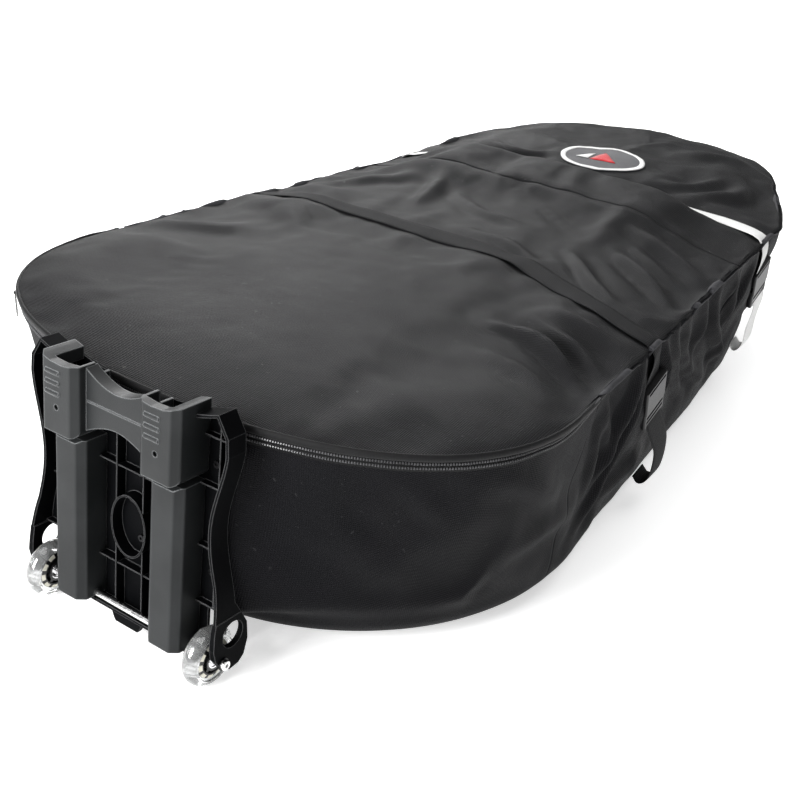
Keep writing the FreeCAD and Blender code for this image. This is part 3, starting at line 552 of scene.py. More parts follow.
SIDE_FOLDS = [
    ([(-.405, .31), (-.345, .24), (-.30, .15)], .013, .006, 1.5),
    ([(-.385, .30), (-.36, .20), (-.35, .12)], .012, .006, 1.4),
    ([(-.28, .31), (-.295, .22), (-.33, .13)], .014, .0075, 1.4),
    ([(-.24, .29), (-.26, .20), (-.31, .10), (-.37, .07)], .014, .007, 1.5),
    ([(-.20, .31), (-.165, .25), (-.15, .17)], .012, .009, 1.7),
    ([(-.17, .32), (-.12, .26), (-.02, .17), (.07, .10)], .013, .0085, 1.6),
    ([(-.10, .315), (-.04, .23), (.06, .15), (.17, .09)], .014, .0085, 1.5),
    ([(-.02, .31), (.03, .24), (.05, .16)], .013, .007, 1.4),
    ([(.05, .30), (.10, .22), (.19, .13), (.25, .05)], .015, .008, 1.5),
    ([(.13, .30), (.17, .21), (.17, .10)], .014, .007, 1.4),
    ([(.24, .29), (.20, .20), (.20, .10)], .014, .006, 1.4),
    ([(.30, .29), (.36, .20), (.42, .12)], .016, .007, 1.4),
    ([(-.42, .05), (-.32, .045), (-.23, .05)], .014, .005, 1.2),
    ([(-.54, .14), (-.46, .144), (-.37, .13)], .022, .004, 1.2),
    ([(-.60, .285), (-.52, .234), (-.45, .188)], .020, .004, 1.3),
    ([(-.10, .09), (-.20, .09), (-.29, .09)], .018, .005, 1.3),
]
NOSE_FOLDS = [
    ([(-.718, -.186, .20), (-.69, -.235, .177), (-.658, -.27, .14)], .020, .0035, 1.3),
    ([(-.715, -.212, .24), (-.688, -.249, .198), (-.659, -.28, .165)], .016, .003, 1.3),
    ([(-.68, -.30, .29), (-.648, -.322, .247), (-.614, -.345, .223)], .018, .003, 1.2),
    ([(-.60, -.35, .12), (-.55, -.37, .10), (-.49, -.38, .085)], .018, .003, 1.2),
]

# Routes of the webbing over the bag, from the left base edge to the buckle.
STRAPS = {
    "main": [(-.131, .395, .0), (-.131, .40, .28), (-.131, .386, .332), (-.133, .30, .345),
             (-.134, .10, .35), (-.137, -.09, .35), (-.175, -.21, .348), (-.220, -.33, .34),
             (-.232, -.385, .322), (-.226, -.392, .29), (-.205, -.392, .25)],
    "rear": [(.232, .34, .0), (.232, .36, .26), (.233, .352, .308), (.247, .27, .322),
             (.283, .10, .325), (.300, -.05, .325), (.300, -.18, .326), (.292, -.27, .325),
             (.281, -.338, .31), (.276, -.352, .29), (.292, -.352, .26)],
}
PATCH = {"x": .406, "y": .012, "half_x": .060, "half_y": .082}

def strap_dent(grid, normals):
    """The straps sink into the cloth and pinch the rim."""
    total = np.zeros(grid.shape[:2])
    for name, depth in (("main", .0045), ("rear", .004)):
        line = resample(catmull(STRAPS[name][1:], 8), .015)
        best = np.full(grid.shape[:2], 9.0)
        for p, q in zip(line, line[1:]):
            seg = q - p
            u = np.clip(((grid - p) @ seg) / (seg @ seg), 0, 1)
            away = grid - (p + u[..., None] * seg)
            away = away - np.sum(away * normals, 2)[..., None] * normals * .8
            best = np.minimum(best, np.linalg.norm(away, axis=2))
        total -= depth * np.exp(-(best / .030) ** 4)
        total += depth * .5 * np.exp(-((best - .052) / .02) ** 2)
    return total


def rumple(grid, scale, seed):
    shift = Vector((seed * 3.1, seed * 1.7, seed * 5.3))
    flat = grid.reshape(-1, 3)
    out = np.array([noise.fractal(Vector(p) * scale + shift, .9, 2.1, 4) for p in flat])
    return out.reshape(grid.shape[:2])


def shape_grid():
    grid = settle(nose_collar(build_grid()))
    normals = grid_normals(grid)
    total = strap_dent(grid, normals)
    for path, width, height, skew in TOP_FOLDS:
        line = [(x, y, rim_z(x) + CROWN) for x, y in path]
        total += fold(grid, normals, line, width, height * FOLD_GAIN, skew)
    for sign in (-1, 1):
        for i, (path, width, height, skew) in enumerate(SIDE_FOLDS):
            drift = 0 if sign < 0 else .03 * math.sin(i * 2.3)
            line = [(x + drift, sign * wall_y(x + drift, z), z) for x, z in path]
            total += fold(grid, normals, line, width, height * FOLD_GAIN, skew)
    for path, width, height, skew in NOSE_FOLDS:
        for sign in (1, -1):
            line = [(x, y * sign, z) for x, y, z in path]
            total += fold(grid, normals, line, width, height * (1 if sign > 0 else .8), skew)
    x, y, z = grid[..., 0], grid[..., 1], grid[..., 2]
    rows = np.arange(len(grid))[:, None]
    seam = np.minimum(np.abs(rows - ROW_RIM) / 4, 1)
    loose = falloff((x + .45) / .15) * .7 + .3
    above = falloff((z - .004) / .03)
    total += rumple(grid, 7.0, 1) * .0035 * loose * above
    total += rumple(grid, 19.0, 2) * .0016 * loose * above
    groove = np.exp(-((x - SEAM_X) / .005) ** 2) * (rows > ROW_RIM) * -.0028
    behind_zip = falloff((x - LID_X) / .03)
    groove = groove - .0024 * np.exp(-((rows - ROW_RIM) / 1.1) ** 2) * behind_zip
    total = total * (.25 + .75 * seam) + groove
    return grid + normals * (total * above)[..., None]


def wall_y(x, z):
    share = (z - EDGE_Z) / (rim_z(x) - EDGE_Z)
    line = half_outline(share, 0)
    return float(np.interp(x, line[:, 0], line[:, 1])) + .004


def grid_pieces(grid):
    """Split the grid into the bag's sewn panels."""
    count = grid.shape[1]
    rows, cols = np.meshgrid(np.arange(len(grid) - 1), np.arange(count), indexing="ij")
    near = np.minimum(cols + .5, count - cols - .5)
    left = cols < HALF
    top = rows >= ROW_RIM
    skirt = (rows >= ROW_SKIRT) & (rows < ROW_RIM) & (near < COL_LID)
    wall = (rows >= ROW_BASE) & ~top & ~skirt
    masks = {
        "top_front": (top & (near < COL_SEAM)) | skirt,
        "top_rear": top & (near > COL_SEAM),
        "gusset_nose": wall & (near < COL_LID),
        "gusset_left": wall & left & (near > COL_LID) & (near < COL_SEAM),
        "gusset_right": wall & ~left & (near > COL_LID) & (near < COL_SEAM),
        "gusset_tail": wall & (near > COL_SEAM),
        "base_cloth": rows < ROW_BASE,
    }
    run = np.zeros(grid.shape[:2])
    run[:, 1:] = np.cumsum(np.linalg.norm(np.diff(grid[ROW_RIM], axis=0), axis=1))[None, :]
    climb = np.zeros(grid.shape[:2])
    climb[1:] = np.cumsum(np.linalg.norm(np.diff(grid, axis=0), axis=2), axis=0)
    made = {}
    for name, mask in masks.items():
        r, c = rows[mask], cols[mask]
        quads = np.stack([r * count + c, r * count + (c + 1) % count,
                          (r + 1) * count + (c + 1) % count, (r + 1) * count + c], 1)
        used, index = np.unique(quads, return_inverse=True)
        verts = grid.reshape(-1, 3)[used]
        flat = name in ("top_front", "top_rear", "base_cloth")
        uv = verts[:, :2] if flat else np.stack([run.ravel()[used], climb.ravel()[used]], 1)
        made[name] = (verts, index.reshape(-1, 4), uv)
    return made


def pinned_share(grid):
    """How firmly each point of the skin is held while the cloth is simulated."""
    x, y, z = grid[..., 0], grid[..., 1], grid[..., 2]
    rows = np.arange(len(grid))[:, None] + 0 * x
    near = np.minimum(np.arange(grid.shape[1]), grid.shape[1] - np.arange(grid.shape[1]))[None, :] + 0 * rows
    held = (rows <= ROW_WALL + 1) | (np.abs(rows - ROW_RIM) < 1.5) | (near == COL_SEAM)
    held |= (near <= COL_LID) & (rows >= ROW_SKIRT - 3) & (rows <= ROW_RIM + 1)
    held |= (np.abs(y) < .24) & (x < -.60) & (rows < ROW_RIM)
    held |= (rows > ROW_RIM) & (x < -.25) & (np.abs(y) < .16)
    for spot in ((-.186, -.39, .219), (.3125, -.345, .228)):
        held |= np.linalg.norm(grid - spot, axis=2) < .062
    held |= (x > .70) & (np.abs(y) < .12) & (z < .29) & (z > .20)
    held |= np.hypot((x - PATCH["x"]) / .075, (y - PATCH["y"]) / .095) < 1
    for name in STRAPS:
        line = resample(catmull(STRAPS[name][1:], 8), .02)
        for q in line:
            held |= np.linalg.norm(grid - q, axis=2) < .024
    return held


SLACK = .030            # share by which the cloth is cut larger than the shape it covers
SIM_FRAMES = 14
SIM_CAP = .012          # furthest that a point of the cloth may move
SLIDER_SEAT = .0048     # from the skin to the middle of the zip slider
SLIDER_REACH = .05

def simulate(grid):
    """Let the cloth between the seams buckle: it is cut slightly larger than the shape it covers."""
    shape = grid.shape[:2]
    points = grid.reshape(-1, 3)
    index = np.arange(len(points)).reshape(shape)
    count = shape[1]
    mirror = (count - np.arange(count)) % count
    for row in (0, shape[0] - 1):
        index[row] = np.minimum(index[row], index[row][mirror])
    quads = []
    for r in range(shape[0] - 1):
        a, b = index[r], index[r + 1]
        quads.append(np.stack([a, np.roll(a, -1), np.roll(b, -1), b], 1))
    quads = np.vstack(quads)
    used, flat = np.unique(quads, return_inverse=True)
    faces = [tuple(dict.fromkeys(f)) for f in flat.reshape(-1, 4).tolist()]
    faces = [f for f in faces if len(f) > 2]
    cloth = mesh_object("cloth_under_test", points[used], faces, MAT["cloth"])
    held = pinned_share(grid).reshape(-1)[used]
    group = cloth.vertex_groups.new(name="held")
    group.add([int(i) for i in np.nonzero(held)[0]], 1.0, "REPLACE")
    sim = modifier(cloth, "CLOTH")
    sim.settings.quality = 4
    sim.settings.mass = .25
    sim.settings.tension_stiffness = 12
    sim.settings.compression_stiffness = 12
    sim.settings.shear_stiffness = 4
    sim.settings.bending_stiffness = 1.2
    sim.settings.vertex_group_mass = "held"
    tight = cloth.vertex_groups.new(name="tight")
    x, _, z = points[used].T
    taut = 1 - falloff((x + .42) / .12) * (1 - .55 * falloff((x - .42) / .15))
    taut = np.maximum(taut, 1 - falloff((z - .05) / .10))
    for level in range(1, 9):
        chosen = np.nonzero((taut > (level - 1) / 8) & (taut <= level / 8))[0]
        tight.add([int(i) for i in chosen], level / 8, "REPLACE")
    sim.settings.vertex_group_shrink = "tight"
    sim.settings.shrink_min = -SLACK
    sim.settings.shrink_max = -.006
    sim.settings.use_pressure = True
    sim.settings.uniform_pressure_force = .8
    sim.settings.effector_weights.gravity = 0
    sim.collision_settings.use_collision = False
    sim.point_cache.frame_start = 1
    sim.point_cache.frame_end = SIM_FRAMES
    scene = bpy.context.scene
    for number in range(1, SIM_FRAMES + 1):
        scene.frame_set(number)
    moved = np.zeros(len(used) * 3)
    cloth.evaluated_get(bpy.context.evaluated_depsgraph_get()).data.vertices.foreach_get("co", moved)
    scene.frame_set(1)
    shift = moved.reshape(-1, 3) - points[used]
    data = cloth.data
    bpy.data.objects.remove(cloth)
    bpy.data.meshes.remove(data)
    length = np.linalg.norm(shift, axis=1)
    shift *= (SIM_CAP * np.tanh(length / SIM_CAP) / np.maximum(length, 1e-9))[:, None]
    back = np.zeros(len(points), np.int64)
    back[used] = np.arange(len(used))
    field = shift[back[index.reshape(-1)]].reshape(grid.shape)
    for _ in range(2):
        field = (np.roll(field, 1, 1) + 2 * field + np.roll(field, -1, 1)) / 4
        field[1:-1] = (field[:-2] + 2 * field[1:-1] + field[2:]) / 4
    return grid + field


def meet_slider(grid):
    """Bring the cloth out to the zip slider, so that the slider's body sits on the coil."""
    low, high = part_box("zip_slider")
    middle = (np.array(low) + np.array(high)) / 2
    normals = grid_normals(grid)
    away = np.linalg.norm(grid - middle, axis=2)
    row, col = np.unravel_index(np.argmin(away), away.shape)
    gap = (middle - grid[row, col]) @ normals[row, col] - SLIDER_SEAT
    return grid + normals * (gap * np.exp(-(away / SLIDER_REACH) ** 2))[..., None]


GRID = shape_grid()
GRID = simulate(GRID)
GRID = meet_slider(GRID)
NORMALS = grid_normals(GRID)

PANELS = {
    "top_front": ("cloth", ["lid_panel", "mid_top_panel"]),
    "top_rear": ("cloth", ["rear_top_panel"]),
    "gusset_nose": ("gusset", ["nose_gusset", "mount_collar"]),
    "gusset_left": ("gusset", ["side_gusset_left"]),
    "gusset_right": ("gusset", ["side_gusset_right"]),
    "gusset_tail": ("gusset", ["tail_gusset"]),
    "base_cloth": ("gusset", ["base_panel"]),
}


def make_panels():
    for name, (verts, faces, uv) in grid_pieces(GRID).items():
        look, nodes = PANELS[name]
        obj = mesh_object(name, verts, faces[:, ::-1], MAT[look], uv)
        obj.data.materials.append(MAT["lining"])
        modifier(obj, "WELD", merge_threshold=.00002)
        modifier(obj, "SUBSURF", levels=1, render_levels=1)
        modifier(obj, "SOLIDIFY", thickness=.0045, offset=-1, material_offset=1, material_offset_rim=0)
        apply_modifiers(obj)
        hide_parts(*nodes)
        if name == "top_front":
            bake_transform(obj)
        else:
            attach(obj, "root")


make_panels()


# ---------------------------------------------------------------- webbing
def surface_tree():
    verts, faces = [], []
    count = GRID.shape[1]
    verts = GRID.reshape(-1, 3)
    for r in range(len(GRID) - 1):
        for c in range(count):
            faces.append((r * count + c, r * count + (c + 1) % count,
                          (r + 1) * count + (c + 1) % count, (r + 1) * count + c))
    return BVHTree.FromPolygons([Vector(v) for v in verts], faces)


SKIN_TREE = surface_tree()


def ribbon(name, centre, across, normal, width, thick, mat, columns=6):
    """Flat webbing with rounded edges from a centre line and its frames."""
    count = len(centre)
    run = arc_length(centre)
    verts, uv = [], []
    share = np.linspace(-1, 1, columns + 1)
    for side in (1, -1):
        for k in share:
            edge = .5 * thick * (1 - .6 * abs(k) ** 8)
            verts.append(centre + across * (k * width / 2) + normal * (side * edge))
            uv.append(np.stack([np.full(count, k * width / 2), run], 1))
    verts = np.array(verts).transpose(1, 0, 2)
    uv = np.array(uv).transpose(1, 0, 2)
    loop = list(range(columns + 1)) + list(range(2 * columns + 1, columns, -1))
    size = 2 * (columns + 1)
    faces = []
    for i in range(count - 1):
        for a, b in zip(loop, loop[1:] + loop[:1]):
            faces.append((i * size + a, i * size + b, (i + 1) * size + b, (i + 1) * size + a))
    faces.append(tuple(loop[::-1]))
    faces.append(tuple((count - 1) * size + a for a in loop))
    return mesh_object(name, verts.reshape(-1, 3), faces, mat, uv.reshape(-1, 2))


def strap_on_skin(path, width, lift, step=.009):
    """Centre line, across and normal vectors of webbing that lies on the skin."""
    line = resample(catmull(path, 10), step)
    hits, normals = [], []
    for p in line:
        spot, normal, _, _ = SKIN_TREE.find_nearest(Vector(p))
        hits.append(spot)
        normals.append(normal if normal.dot(Vector(p) - Vector((p[0], 0, .16))) > 0 else -normal)
    hits, normals = np.array(hits), np.array(normals)
    for _ in range(14):
        hits[1:-1] = (hits[:-2] + 2 * hits[1:-1] + hits[2:]) / 4
        normals[1:-1] = (normals[:-2] + 2 * normals[1:-1] + normals[2:]) / 4
    normals = unit(normals)
    along = np.gradient(hits, axis=0)
    across = np.cross(normals, along)
    across = unit(across)
    need = np.zeros(len(hits))
    for i, (p, a, n) in enumerate(zip(hits, across, normals)):
        for k in (-1, -.5, 0, .5, 1):
            start = p + a * (k * width / 2) + n * .03
            spot, _, _, _ = SKIN_TREE.ray_cast(Vector(start), Vector(-n), .06)
            if spot:
                need[i] = max(need[i], (np.array(spot) - p) @ n)
    for _ in range(3):
        need[1:-1] = np.maximum(need[1:-1], (need[:-2] + need[2:]) / 2)
    return hits + normals * (need + lift)[:, None], across, normals


def make_upper_strap(name, mat):
    path = [p for p in STRAPS[name]]
    path[0] = (path[0][0], path[0][1] - .01, .045)
    centre, across, normal = strap_on_skin(path, .040, .0009)
    obj = ribbon(name + "_webbing_upper", centre, across, normal, .040, .0014, MAT[mat])
    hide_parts(name + "_strap_upper")
    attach(obj, "root")
    return obj


make_upper_strap("main", "web_black")
make_upper_strap("rear", "web_white")


# ---------------------------------------------------------------- zip
def nose_columns():
    """Grid columns round the nose from the right zip end to the left one."""
    count = GRID.shape[1]
    return np.r_[np.arange(count - COL_LID, count), np.arange(0, COL_LID + 1)]


def skin_strip(name, rows, lift, thick, mat):
    """A strip that lies on the skin round the nose, between two rows of the grid."""
    cols = nose_columns()
    outer, inner = [], []
    for r in rows:
        outer.append(GRID[r, cols] + NORMALS[r, cols] * (lift + thick))
        inner.append(GRID[r, cols] + NORMALS[r, cols] * lift)
    layers = outer + inner[::-1]
    size = len(cols)
    run = arc_length(GRID[rows[0], cols])
    uv = np.vstack([np.stack([run, np.full(size, .004 * k)], 1) for k in range(len(layers))])
    return mesh_object(name, np.vstack(layers), tube_faces(len(layers), size), mat, uv)


def zip_line():
    """Even points along the zip with their tangent, outward and upward vectors."""
    cols = nose_columns()
    line = GRID[ROW_SKIRT, cols]
    out = NORMALS[ROW_SKIRT, cols]
    run = arc_length(line)
    at = np.arange(.002, run[-1] - .002, .0032)
    points = np.stack([np.interp(at, run, line[:, k]) for k in range(3)], 1)
    outward = np.stack([np.interp(at, run, out[:, k]) for k in range(3)], 1)
    along = np.gradient(points, axis=0)
    along = unit(along)
    outward -= along * np.sum(outward * along, 1)[:, None]
    outward = unit(outward)
    upward = np.cross(along, outward)
    upward *= np.sign(upward[:, 2])[:, None]
    return points, along, outward, upward


def zip_teeth(name, side, mat):
    """One row of the coil: rounded loops side by side, above or below the zip line."""
    points, along, outward, upward = zip_line()
    ring_points = [(-1, -.45), (-.75, .35), (0, .85), (.75, .35), (1, -.45)]
    verts, faces = [], []
    for i in range(len(points)):
        centre = points[i] + upward[i] * (side * .0033) + outward[i] * .0014
        first = len(verts)
        for end in (-1, 1):
            for u, v in ring_points:
                verts.append(centre + upward[i] * (u * .0016) + outward[i] * (v * .0013)
                             + along[i] * (end * .0008))
        k = len(ring_points)
        for a in range(k):
            b = (a + 1) % k
            faces.append((first + a, first + b, first + k + b, first + k + a))
        faces.append(tuple(first + a for a in range(k))[::-1])
        faces.append(tuple(first + k + a for a in range(k)))
    return mesh_object(name, verts, faces, mat, smooth=False)


def lid_piping():
    """Stuffed binding that runs round the nose along the rim."""
    cols = nose_columns()
    sections = 10
    centre = GRID[ROW_RIM - 1, cols] + NORMALS[ROW_RIM - 1, cols] * .0005
    out = NORMALS[ROW_RIM - 1, cols]
    along = np.gradient(centre, axis=0)
    along = unit(along)
    up = np.cross(along, out)
    up *= np.sign(up[:, 2])[:, None]
    run = arc_length(centre)
    ends = np.clip(np.minimum(run, run[-1] - run) / .05, .35, 1)
    pinch = 1 - .07 * np.cos(run * math.tau / .021) ** 6
    verts, uv = [], []
    for k in range(sections):
        turn = math.tau * k / sections
        high = .0054 * ends * pinch
        wide = .0034 * pinch
        verts.append(centre + up * (math.cos(turn) * high)[:, None] + out * (math.sin(turn) * wide)[:, None])
        uv.append(np.stack([run, np.full(len(run), .003 * k)], 1))
    faces = tube_faces(sections, len(cols))
    obj = mesh_object("lid_piping", np.vstack(verts), faces, MAT["hem"], np.vstack(uv))
    modifier(obj, "SUBSURF", levels=1, render_levels=1)
    return apply_modifiers(obj)


def make_zip():
    step = {d: ROW_RIM - WALL_STEPS.index(d) for d in (.006, .010, .014, .0175, .022)}
    upper = skin_strip("zip_tape_lid", [step[.006], step[.010], step[.014]], .0002, .0007, MAT["tape"])
    lower = skin_strip("zip_tape_body", [step[.014], step[.0175], step[.022]], .0002, .0007, MAT["tape"])
    teeth_lid = zip_teeth("zip_teeth_lid", 1, MAT["coil"])
    teeth_body = zip_teeth("zip_teeth_body", -1, MAT["coil"])
    piping = lid_piping()
    lid_side = ((upper, "zip_tape", "zip_tape_upper"), (teeth_lid, "zip_black", "zip_coil_upper"),
                (piping, "black_webbing", "lid_binding"))
    body_side = ((lower, "zip_tape", "zip_tape_lower"), (teeth_body, "zip_black", "zip_coil_lower"))
    for obj, slot, node_name in lid_side:
        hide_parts(node_name)
        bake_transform(obj)
    for obj, slot, node_name in body_side:
        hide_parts(node_name)
        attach(obj, "root")


make_zip()


# ---------------------------------------------------------------- woven patch
def top_height(x, y):
    spot, _, _, _ = SKIN_TREE.ray_cast(Vector((x, y, .6)), Vector((0, 0, -1)))
    return spot.z if spot else rim_z(x) + CROWN


def draped(name, rings, lift, mat, centre=True):
    """A thin piece on the top panel made of closed loops of plan points, from outside in."""
    verts = []
    for loop in rings:
        for x, y in loop:
            verts.append((x, y, top_height(x, y) + lift))
    size = len(rings[0])
    faces = ring_faces(len(rings), size)
    if centre:
        mid = np.mean(rings[-1], axis=0)
        verts.append((mid[0], mid[1], top_height(*mid) + lift))
        last = (len(rings) - 1) * size
        for i in range(size):
            faces.append((last + i, last + (i + 1) % size, len(verts) - 1))
    uv = np.array([(v[0], v[1]) for v in verts])
    obj = mesh_object(name, verts, faces, mat, uv)
    modifier(obj, "SOLIDIFY", thickness=.0009, offset=-1)
    apply_modifiers(obj)
    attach(obj, "root")
    return obj


def oval(share, count=72):
    turn = np.linspace(0, math.tau, count, endpoint=False)
    return [(PATCH["x"] + PATCH["half_x"] * share * math.cos(t),
             PATCH["y"] + PATCH["half_y"] * share * math.sin(t)) for t in turn]


def triangle(tip, left, right, steps=6):
    """Loops of a filled triangle in the patch's own axes, u across the bag and v toward the tail."""
    corners = [np.array(c) for c in (tip, left, right)]
    outline = []
    for a, b in zip(corners, corners[1:] + corners[:1]):
        outline += [a + (b - a) * i / steps for i in range(steps)]
    mid = sum(corners) / 3
    loops = []
    for share in (1, .5):
        scaled = [mid + (p - mid) * share for p in outline]
        loops.append([(PATCH["x"] + v, PATCH["y"] + u) for u, v in scaled])
    return loops


def make_patch():
    field = draped("patch_field", [oval(s) for s in (1, .9, .7, .5, .3, .12)], .0020, MAT["patch_grey"])
    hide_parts("logo_patch")
    draped("patch_ring", [oval(.985), oval(.93), oval(.87)], .0029, MAT["patch_white"], centre=False)
    draped("patch_mark_red", triangle((-.034, -.016), (.006, .026), (.018, -.016)), .0029, MAT["patch_red"])
    draped("patch_mark_white", triangle((.046, -.016), (.020, .010), (.022, -.016)), .0029,
           MAT["patch_white"])


make_patch()


# ---------------------------------------------------------------- lower webbing of the two straps
def buckle_frame(strap):
    """Place, direction down the strap and outward direction of a buckle on the right flank."""
    (x0, z0), (x1, z1) = {"main": ((-.222, .288), (-.150, .150)), "rear": ((.280, .285), (.345, .170))}[strap]
    along = np.array([x1 - x0, 0, z1 - z0])
    along = unit(along)
    x, z = (x0 + x1) / 2, (z0 + z1) / 2
    rise = rim_z(x) - EDGE_Z
    share = (z - EDGE_Z) / rise
    size = {q: BASE[q] + (RIM[q] - BASE[q]) * share for q in RIM}
    run = (x - size["wide_x"]) / (size["narrow_x"] - size["wide_x"])
    half = size["wide"] + (size["narrow"] - size["wide"]) * run
    outward = np.array([0, -1, -(RIM["wide"] - BASE["wide"]) / rise])
    outward = unit(outward)
    across = np.cross(outward, along)
    across = unit(across)
    along = np.cross(across, outward)
    return np.array([x, -half, z]) + outward * .0036, along, across, outward


LOOPS = {"main": {"x": -.118, "out": .030, "low": .052, "slot": "black_webbing", "mat": "web_black"},
         "rear": {"x": .352, "out": .026, "low": .085, "slot": "white_webbing", "mat": "web_white"}}


def make_lower_strap(strap):
    """Slack webbing from the ladder bars, hanging in a loop and coming back to the base edge."""
    spec = LOOPS[strap]
    centre, along, across, outward = buckle_frame(strap)
    wall = wall_y(spec["x"], .09) - .002
    start = centre + along * .024 + outward * .0045
    points = [start, centre + along * .037 + outward * .0070, centre + along * .056 + outward * .011,
              np.array([spec["x"] - .006, -wall - spec["out"], (start[2] + spec["low"]) / 2 - .01]),
              np.array([spec["x"], -wall - spec["out"] * .85, spec["low"] + .012]),
              np.array([spec["x"] + .003, -wall - spec["out"] * .35, spec["low"] - .006]),
              np.array([spec["x"] + .002, -wall_y(spec["x"], .05) - .003, spec["low"] + .004])]
    line = resample(catmull(points, 10), .006)
    tangent = np.gradient(line, axis=0)
    tangent = unit(tangent)
    share = np.linspace(0, 1, len(line))[:, None]
    side = across * (1 - share) + np.array([1.0, 0, 0]) * np.sign(across[0]) * share
    side -= tangent * np.sum(side * tangent, 1)[:, None]
    side = unit(side)
    normal = np.cross(tangent, side)
    obj = ribbon(strap + "_webbing_lower", line, side, normal, .039, .0014, MAT[spec["mat"]])
    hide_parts(strap + "_strap_lower")
    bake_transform(obj)
    return obj


make_lower_strap("main")
make_lower_strap("rear")


# ---------------------------------------------------------------- tail handle
def make_tail_handle():
    x = .7704
    half = [(-.078, .250), (-.078, .215), (-.078, .165), (-.070, .139), (-.050, .131)]
    route = [(x, y, z) for y, z in half] + [(x, 0, .131)] + [(x, -y, z) for y, z in half[::-1]]
    line = resample(catmull(route, 10), .005)
    tangent = np.gradient(line, axis=0)
    tangent = unit(tangent)
    normal = np.tile([1.0, 0, 0], (len(line), 1))
    side = np.cross(normal, tangent)
    strap = ribbon("tail_handle_strap", line, side, normal, .037, .0022, MAT["web_black"])
    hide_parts("tail_handle_webbing")
    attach(strap, "tail_handle")
    # Padded sleeve round the middle of the handle.
    verts, uv = [], []
    rings, count = 25, 20
    for i in range(rings):
        y = -.047 + .094 * i / (rings - 1)
        end = 1 - .25 * abs(2 * i / (rings - 1) - 1) ** 6
        for k in range(count):
            turn = math.tau * k / count
            verts.append((x + .0055 * end * math.copysign(abs(math.cos(turn)) ** .8, math.cos(turn)), y,
                          .131 + .0215 * end * math.copysign(abs(math.sin(turn)) ** .7, math.sin(turn))))
            uv.append((y, .004 * k))
    faces = ring_faces(rings, count)
    faces.append(tuple(range(count))[::-1])
    faces.append(tuple((rings - 1) * count + k for k in range(count)))
    sleeve = mesh_object("tail_handle_sleeve", verts, faces, MAT["foam"], uv)
    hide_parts("tail_handle_wrap")
    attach(sleeve, "tail_handle")
    # Two square anchor patches sewn to the tail.
    verts, faces, uv = [], [], []
    size = 9
    for y0 in (-.078, .078):
        first = len(verts)
        for layer in (.0028, .0004):
            for i in range(size):
                for k in range(size):
                    y = y0 - .029 + .058 * i / (size - 1)
                    z = .223 + .053 * k / (size - 1)
                    spot, normal, _, _ = SKIN_TREE.find_nearest(Vector((.78, y, z)))
                    normal = normal if normal.x > 0 else -normal
                    verts.append(spot + normal * layer)
                    uv.append((y, z))
        for layer in (0, 1):
            base = first + layer * size * size
            for i in range(size - 1):
                for k in range(size - 1):
                    quad = (base + i * size + k, base + (i + 1) * size + k,
                            base + (i + 1) * size + k + 1, base + i * size + k + 1)
                    faces.append(quad if layer == 0 else quad[::-1])
        edge = [i * size for i in range(size)] + [(size - 1) * size + k for k in range(1, size)]
        edge += [i * size + size - 1 for i in range(size - 2, -1, -1)] + [k for k in range(size - 2, 0, -1)]
        for a, b in zip(edge, edge[1:] + edge[:1]):
            faces.append((first + b, first + a, first + size * size + a, first + size * size + b))
    anchor = mesh_object("tail_handle_anchors", verts, faces, MAT["web_black"], uv)
    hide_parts("tail_handle_patches")
    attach(anchor, "root")


make_tail_handle()


# ---------------------------------------------------------------- inside of the bag
def make_inside():
    outline = half_outline(0, .079)[::12]
    loop = np.vstack([outline, outline[::-1] * (1, -1)])
    verts, uv = [], []
    rings = 16
    size = len(loop)
    layers = [(1.0, .0098), (1.0, .0130)] + [(1 - k / rings, .0155) for k in range(rings)]
    for share, z in layers:
        for px, py in loop:
            sx = float(spine_x(px))
            x, y = sx + (px - sx) * share, py * share
            quilt = .0012 * abs(math.sin(math.pi * x / .16)) ** .4 if z > .015 else 0
            verts.append((x, y, z + quilt - .001))
            uv.append((x, y))
    faces = ring_faces(len(layers), size)
    faces.append(tuple(range(size))[::-1])
    pad = mesh_object("base_padding", verts, faces, MAT["foam"], uv)
    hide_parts("base_foam_pad")
    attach(pad, "root")
    for letter, x in zip("ab", (-.330, .250)):
        y = np.linspace(-.229, .229, 60)
        line = np.stack([np.full(60, x), y, .0172 + .0016 * np.exp(-(y / .03) ** 2)], 1)
        obj = ribbon("inner_tie_strap_" + letter, line, np.tile([1.0, 0, 0], (60, 1)),
                     np.tile([0, 0, 1.0], (60, 1)), .038, .0012, MAT["web_black"])
        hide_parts("inner_tie_straps")
        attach(obj, "root")


make_inside()


# ---------------------------------------------------------------- wheel details
def make_wheel_windows(side):
    """Cream inserts between the lugs of each wheel's rim, on both faces."""
    sign = 1 if side == "left" else -1
    verts, faces = [], []
    count = 10
    for face in (-1, 1):
        for i in range(count):
            first = len(verts)
            for lift in (0.0, .0007):
                for radius, out in ((.0202, .0103), (.0246, .0087)):
                    for k in range(5):
                        turn = math.tau * (i + (k / 4 - .5) * .62) / count
                        verts.append((AXLE_X + radius * math.cos(turn), sign * WHEEL_Y + face * (out + lift),
                                      AXLE_Z + radius * math.sin(turn)))
            for layer in (0, 1):
                base = first + layer * 10
                for k in range(4):
                    quad = (base + k, base + k + 1, base + 5 + k + 1, base + 5 + k)
                    faces.append(quad if layer else quad[::-1])
            loop = [0, 1, 2, 3, 4, 9, 8, 7, 6, 5]
            for a, b in zip(loop, loop[1:] + loop[:1]):
                faces.append((first + a, first + b, first + 10 + b, first + 10 + a))
    obj = mesh_object("wheel_" + side + "_windows", verts, faces, MAT["cream"], smooth=False)
    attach(obj, "wheel_" + side)


make_wheel_windows("left")
make_wheel_windows("right")


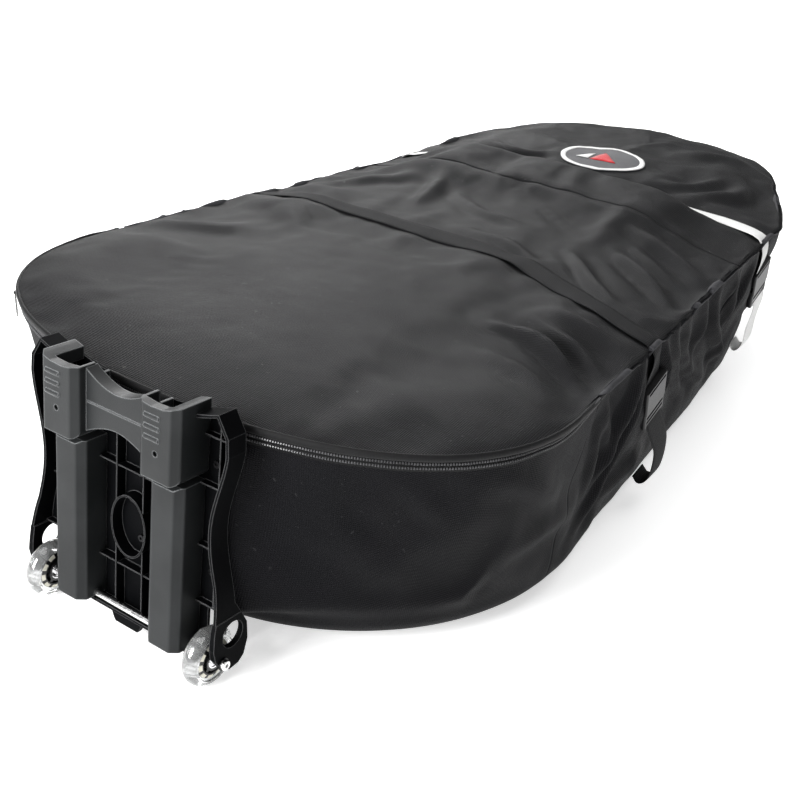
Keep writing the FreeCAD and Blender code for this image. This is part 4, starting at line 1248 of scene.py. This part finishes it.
# ---------------------------------------------------------------- stage, light and camera
def look_frame():
    yaw, pitch, roll = map(math.radians, (33.69, 28.34, 3.66))
    ahead = Vector((math.cos(yaw) * math.cos(pitch), math.sin(yaw) * math.cos(pitch), -math.sin(pitch)))
    right = Vector((math.sin(yaw), -math.cos(yaw), 0))
    up = right.cross(ahead)
    right2 = right * math.cos(roll) + up * math.sin(roll)
    up2 = up * math.cos(roll) - right * math.sin(roll)
    return Matrix((right2, up2, -ahead)).transposed()


def make_camera():
    data = bpy.data.cameras.new("camera")
    data.lens = 54.0
    data.sensor_width = 36.0
    data.clip_start = .05
    camera = bpy.data.objects.new("camera", data)
    bpy.context.scene.collection.objects.link(camera)
    camera.matrix_world = Matrix.Translation((-1.5957, -.9079, .9781)) @ look_frame().to_4x4()
    bpy.context.scene.camera = camera


def area_light(name, place, target, size, power):
    data = bpy.data.lights.new(name, "AREA")
    data.shape = "RECTANGLE"
    data.size, data.size_y = size
    data.energy = power
    lamp = bpy.data.objects.new(name, data)
    lamp.location = place
    lamp.rotation_euler = (Vector(target) - Vector(place)).to_track_quat("-Z", "Y").to_euler()
    bpy.context.scene.collection.objects.link(lamp)


def make_stage():
    mat, _, bsdf = material("studio_floor")
    bsdf.inputs["Base Color"].default_value = (.93, .93, .93, 1)
    bsdf.inputs["Roughness"].default_value = .7
    bsdf.inputs["Emission Color"].default_value = (1, 1, 1, 1)
    bsdf.inputs["Emission Strength"].default_value = .55
    size = 14
    floor = mesh_object("floor", [(-size, -size, 0), (size, -size, 0), (size, size, 0), (-size, size, 0)],
                        [(0, 1, 2, 3)], mat)
    world = bpy.data.worlds.new("studio")
    world.use_nodes = True
    world.node_tree.nodes["Background"].inputs[0].default_value = (1, 1, 1, 1)
    world.node_tree.nodes["Background"].inputs[1].default_value = .30
    bpy.context.scene.world = world
    area_light("overhead", (.3, .3, 3.4), (.3, .3, 0), (4.5, 4.5), 125)
    area_light("back", (2.3, 2.6, 1.9), (0, 0, .25), (2.2, 1.3), 85)
    area_light("front", (-2.5, .35, 1.0), (-.8, .05, .2), (.8, 1.2), 75)
    bpy.context.scene.view_settings.view_transform = "Standard"


make_camera()
make_stage()
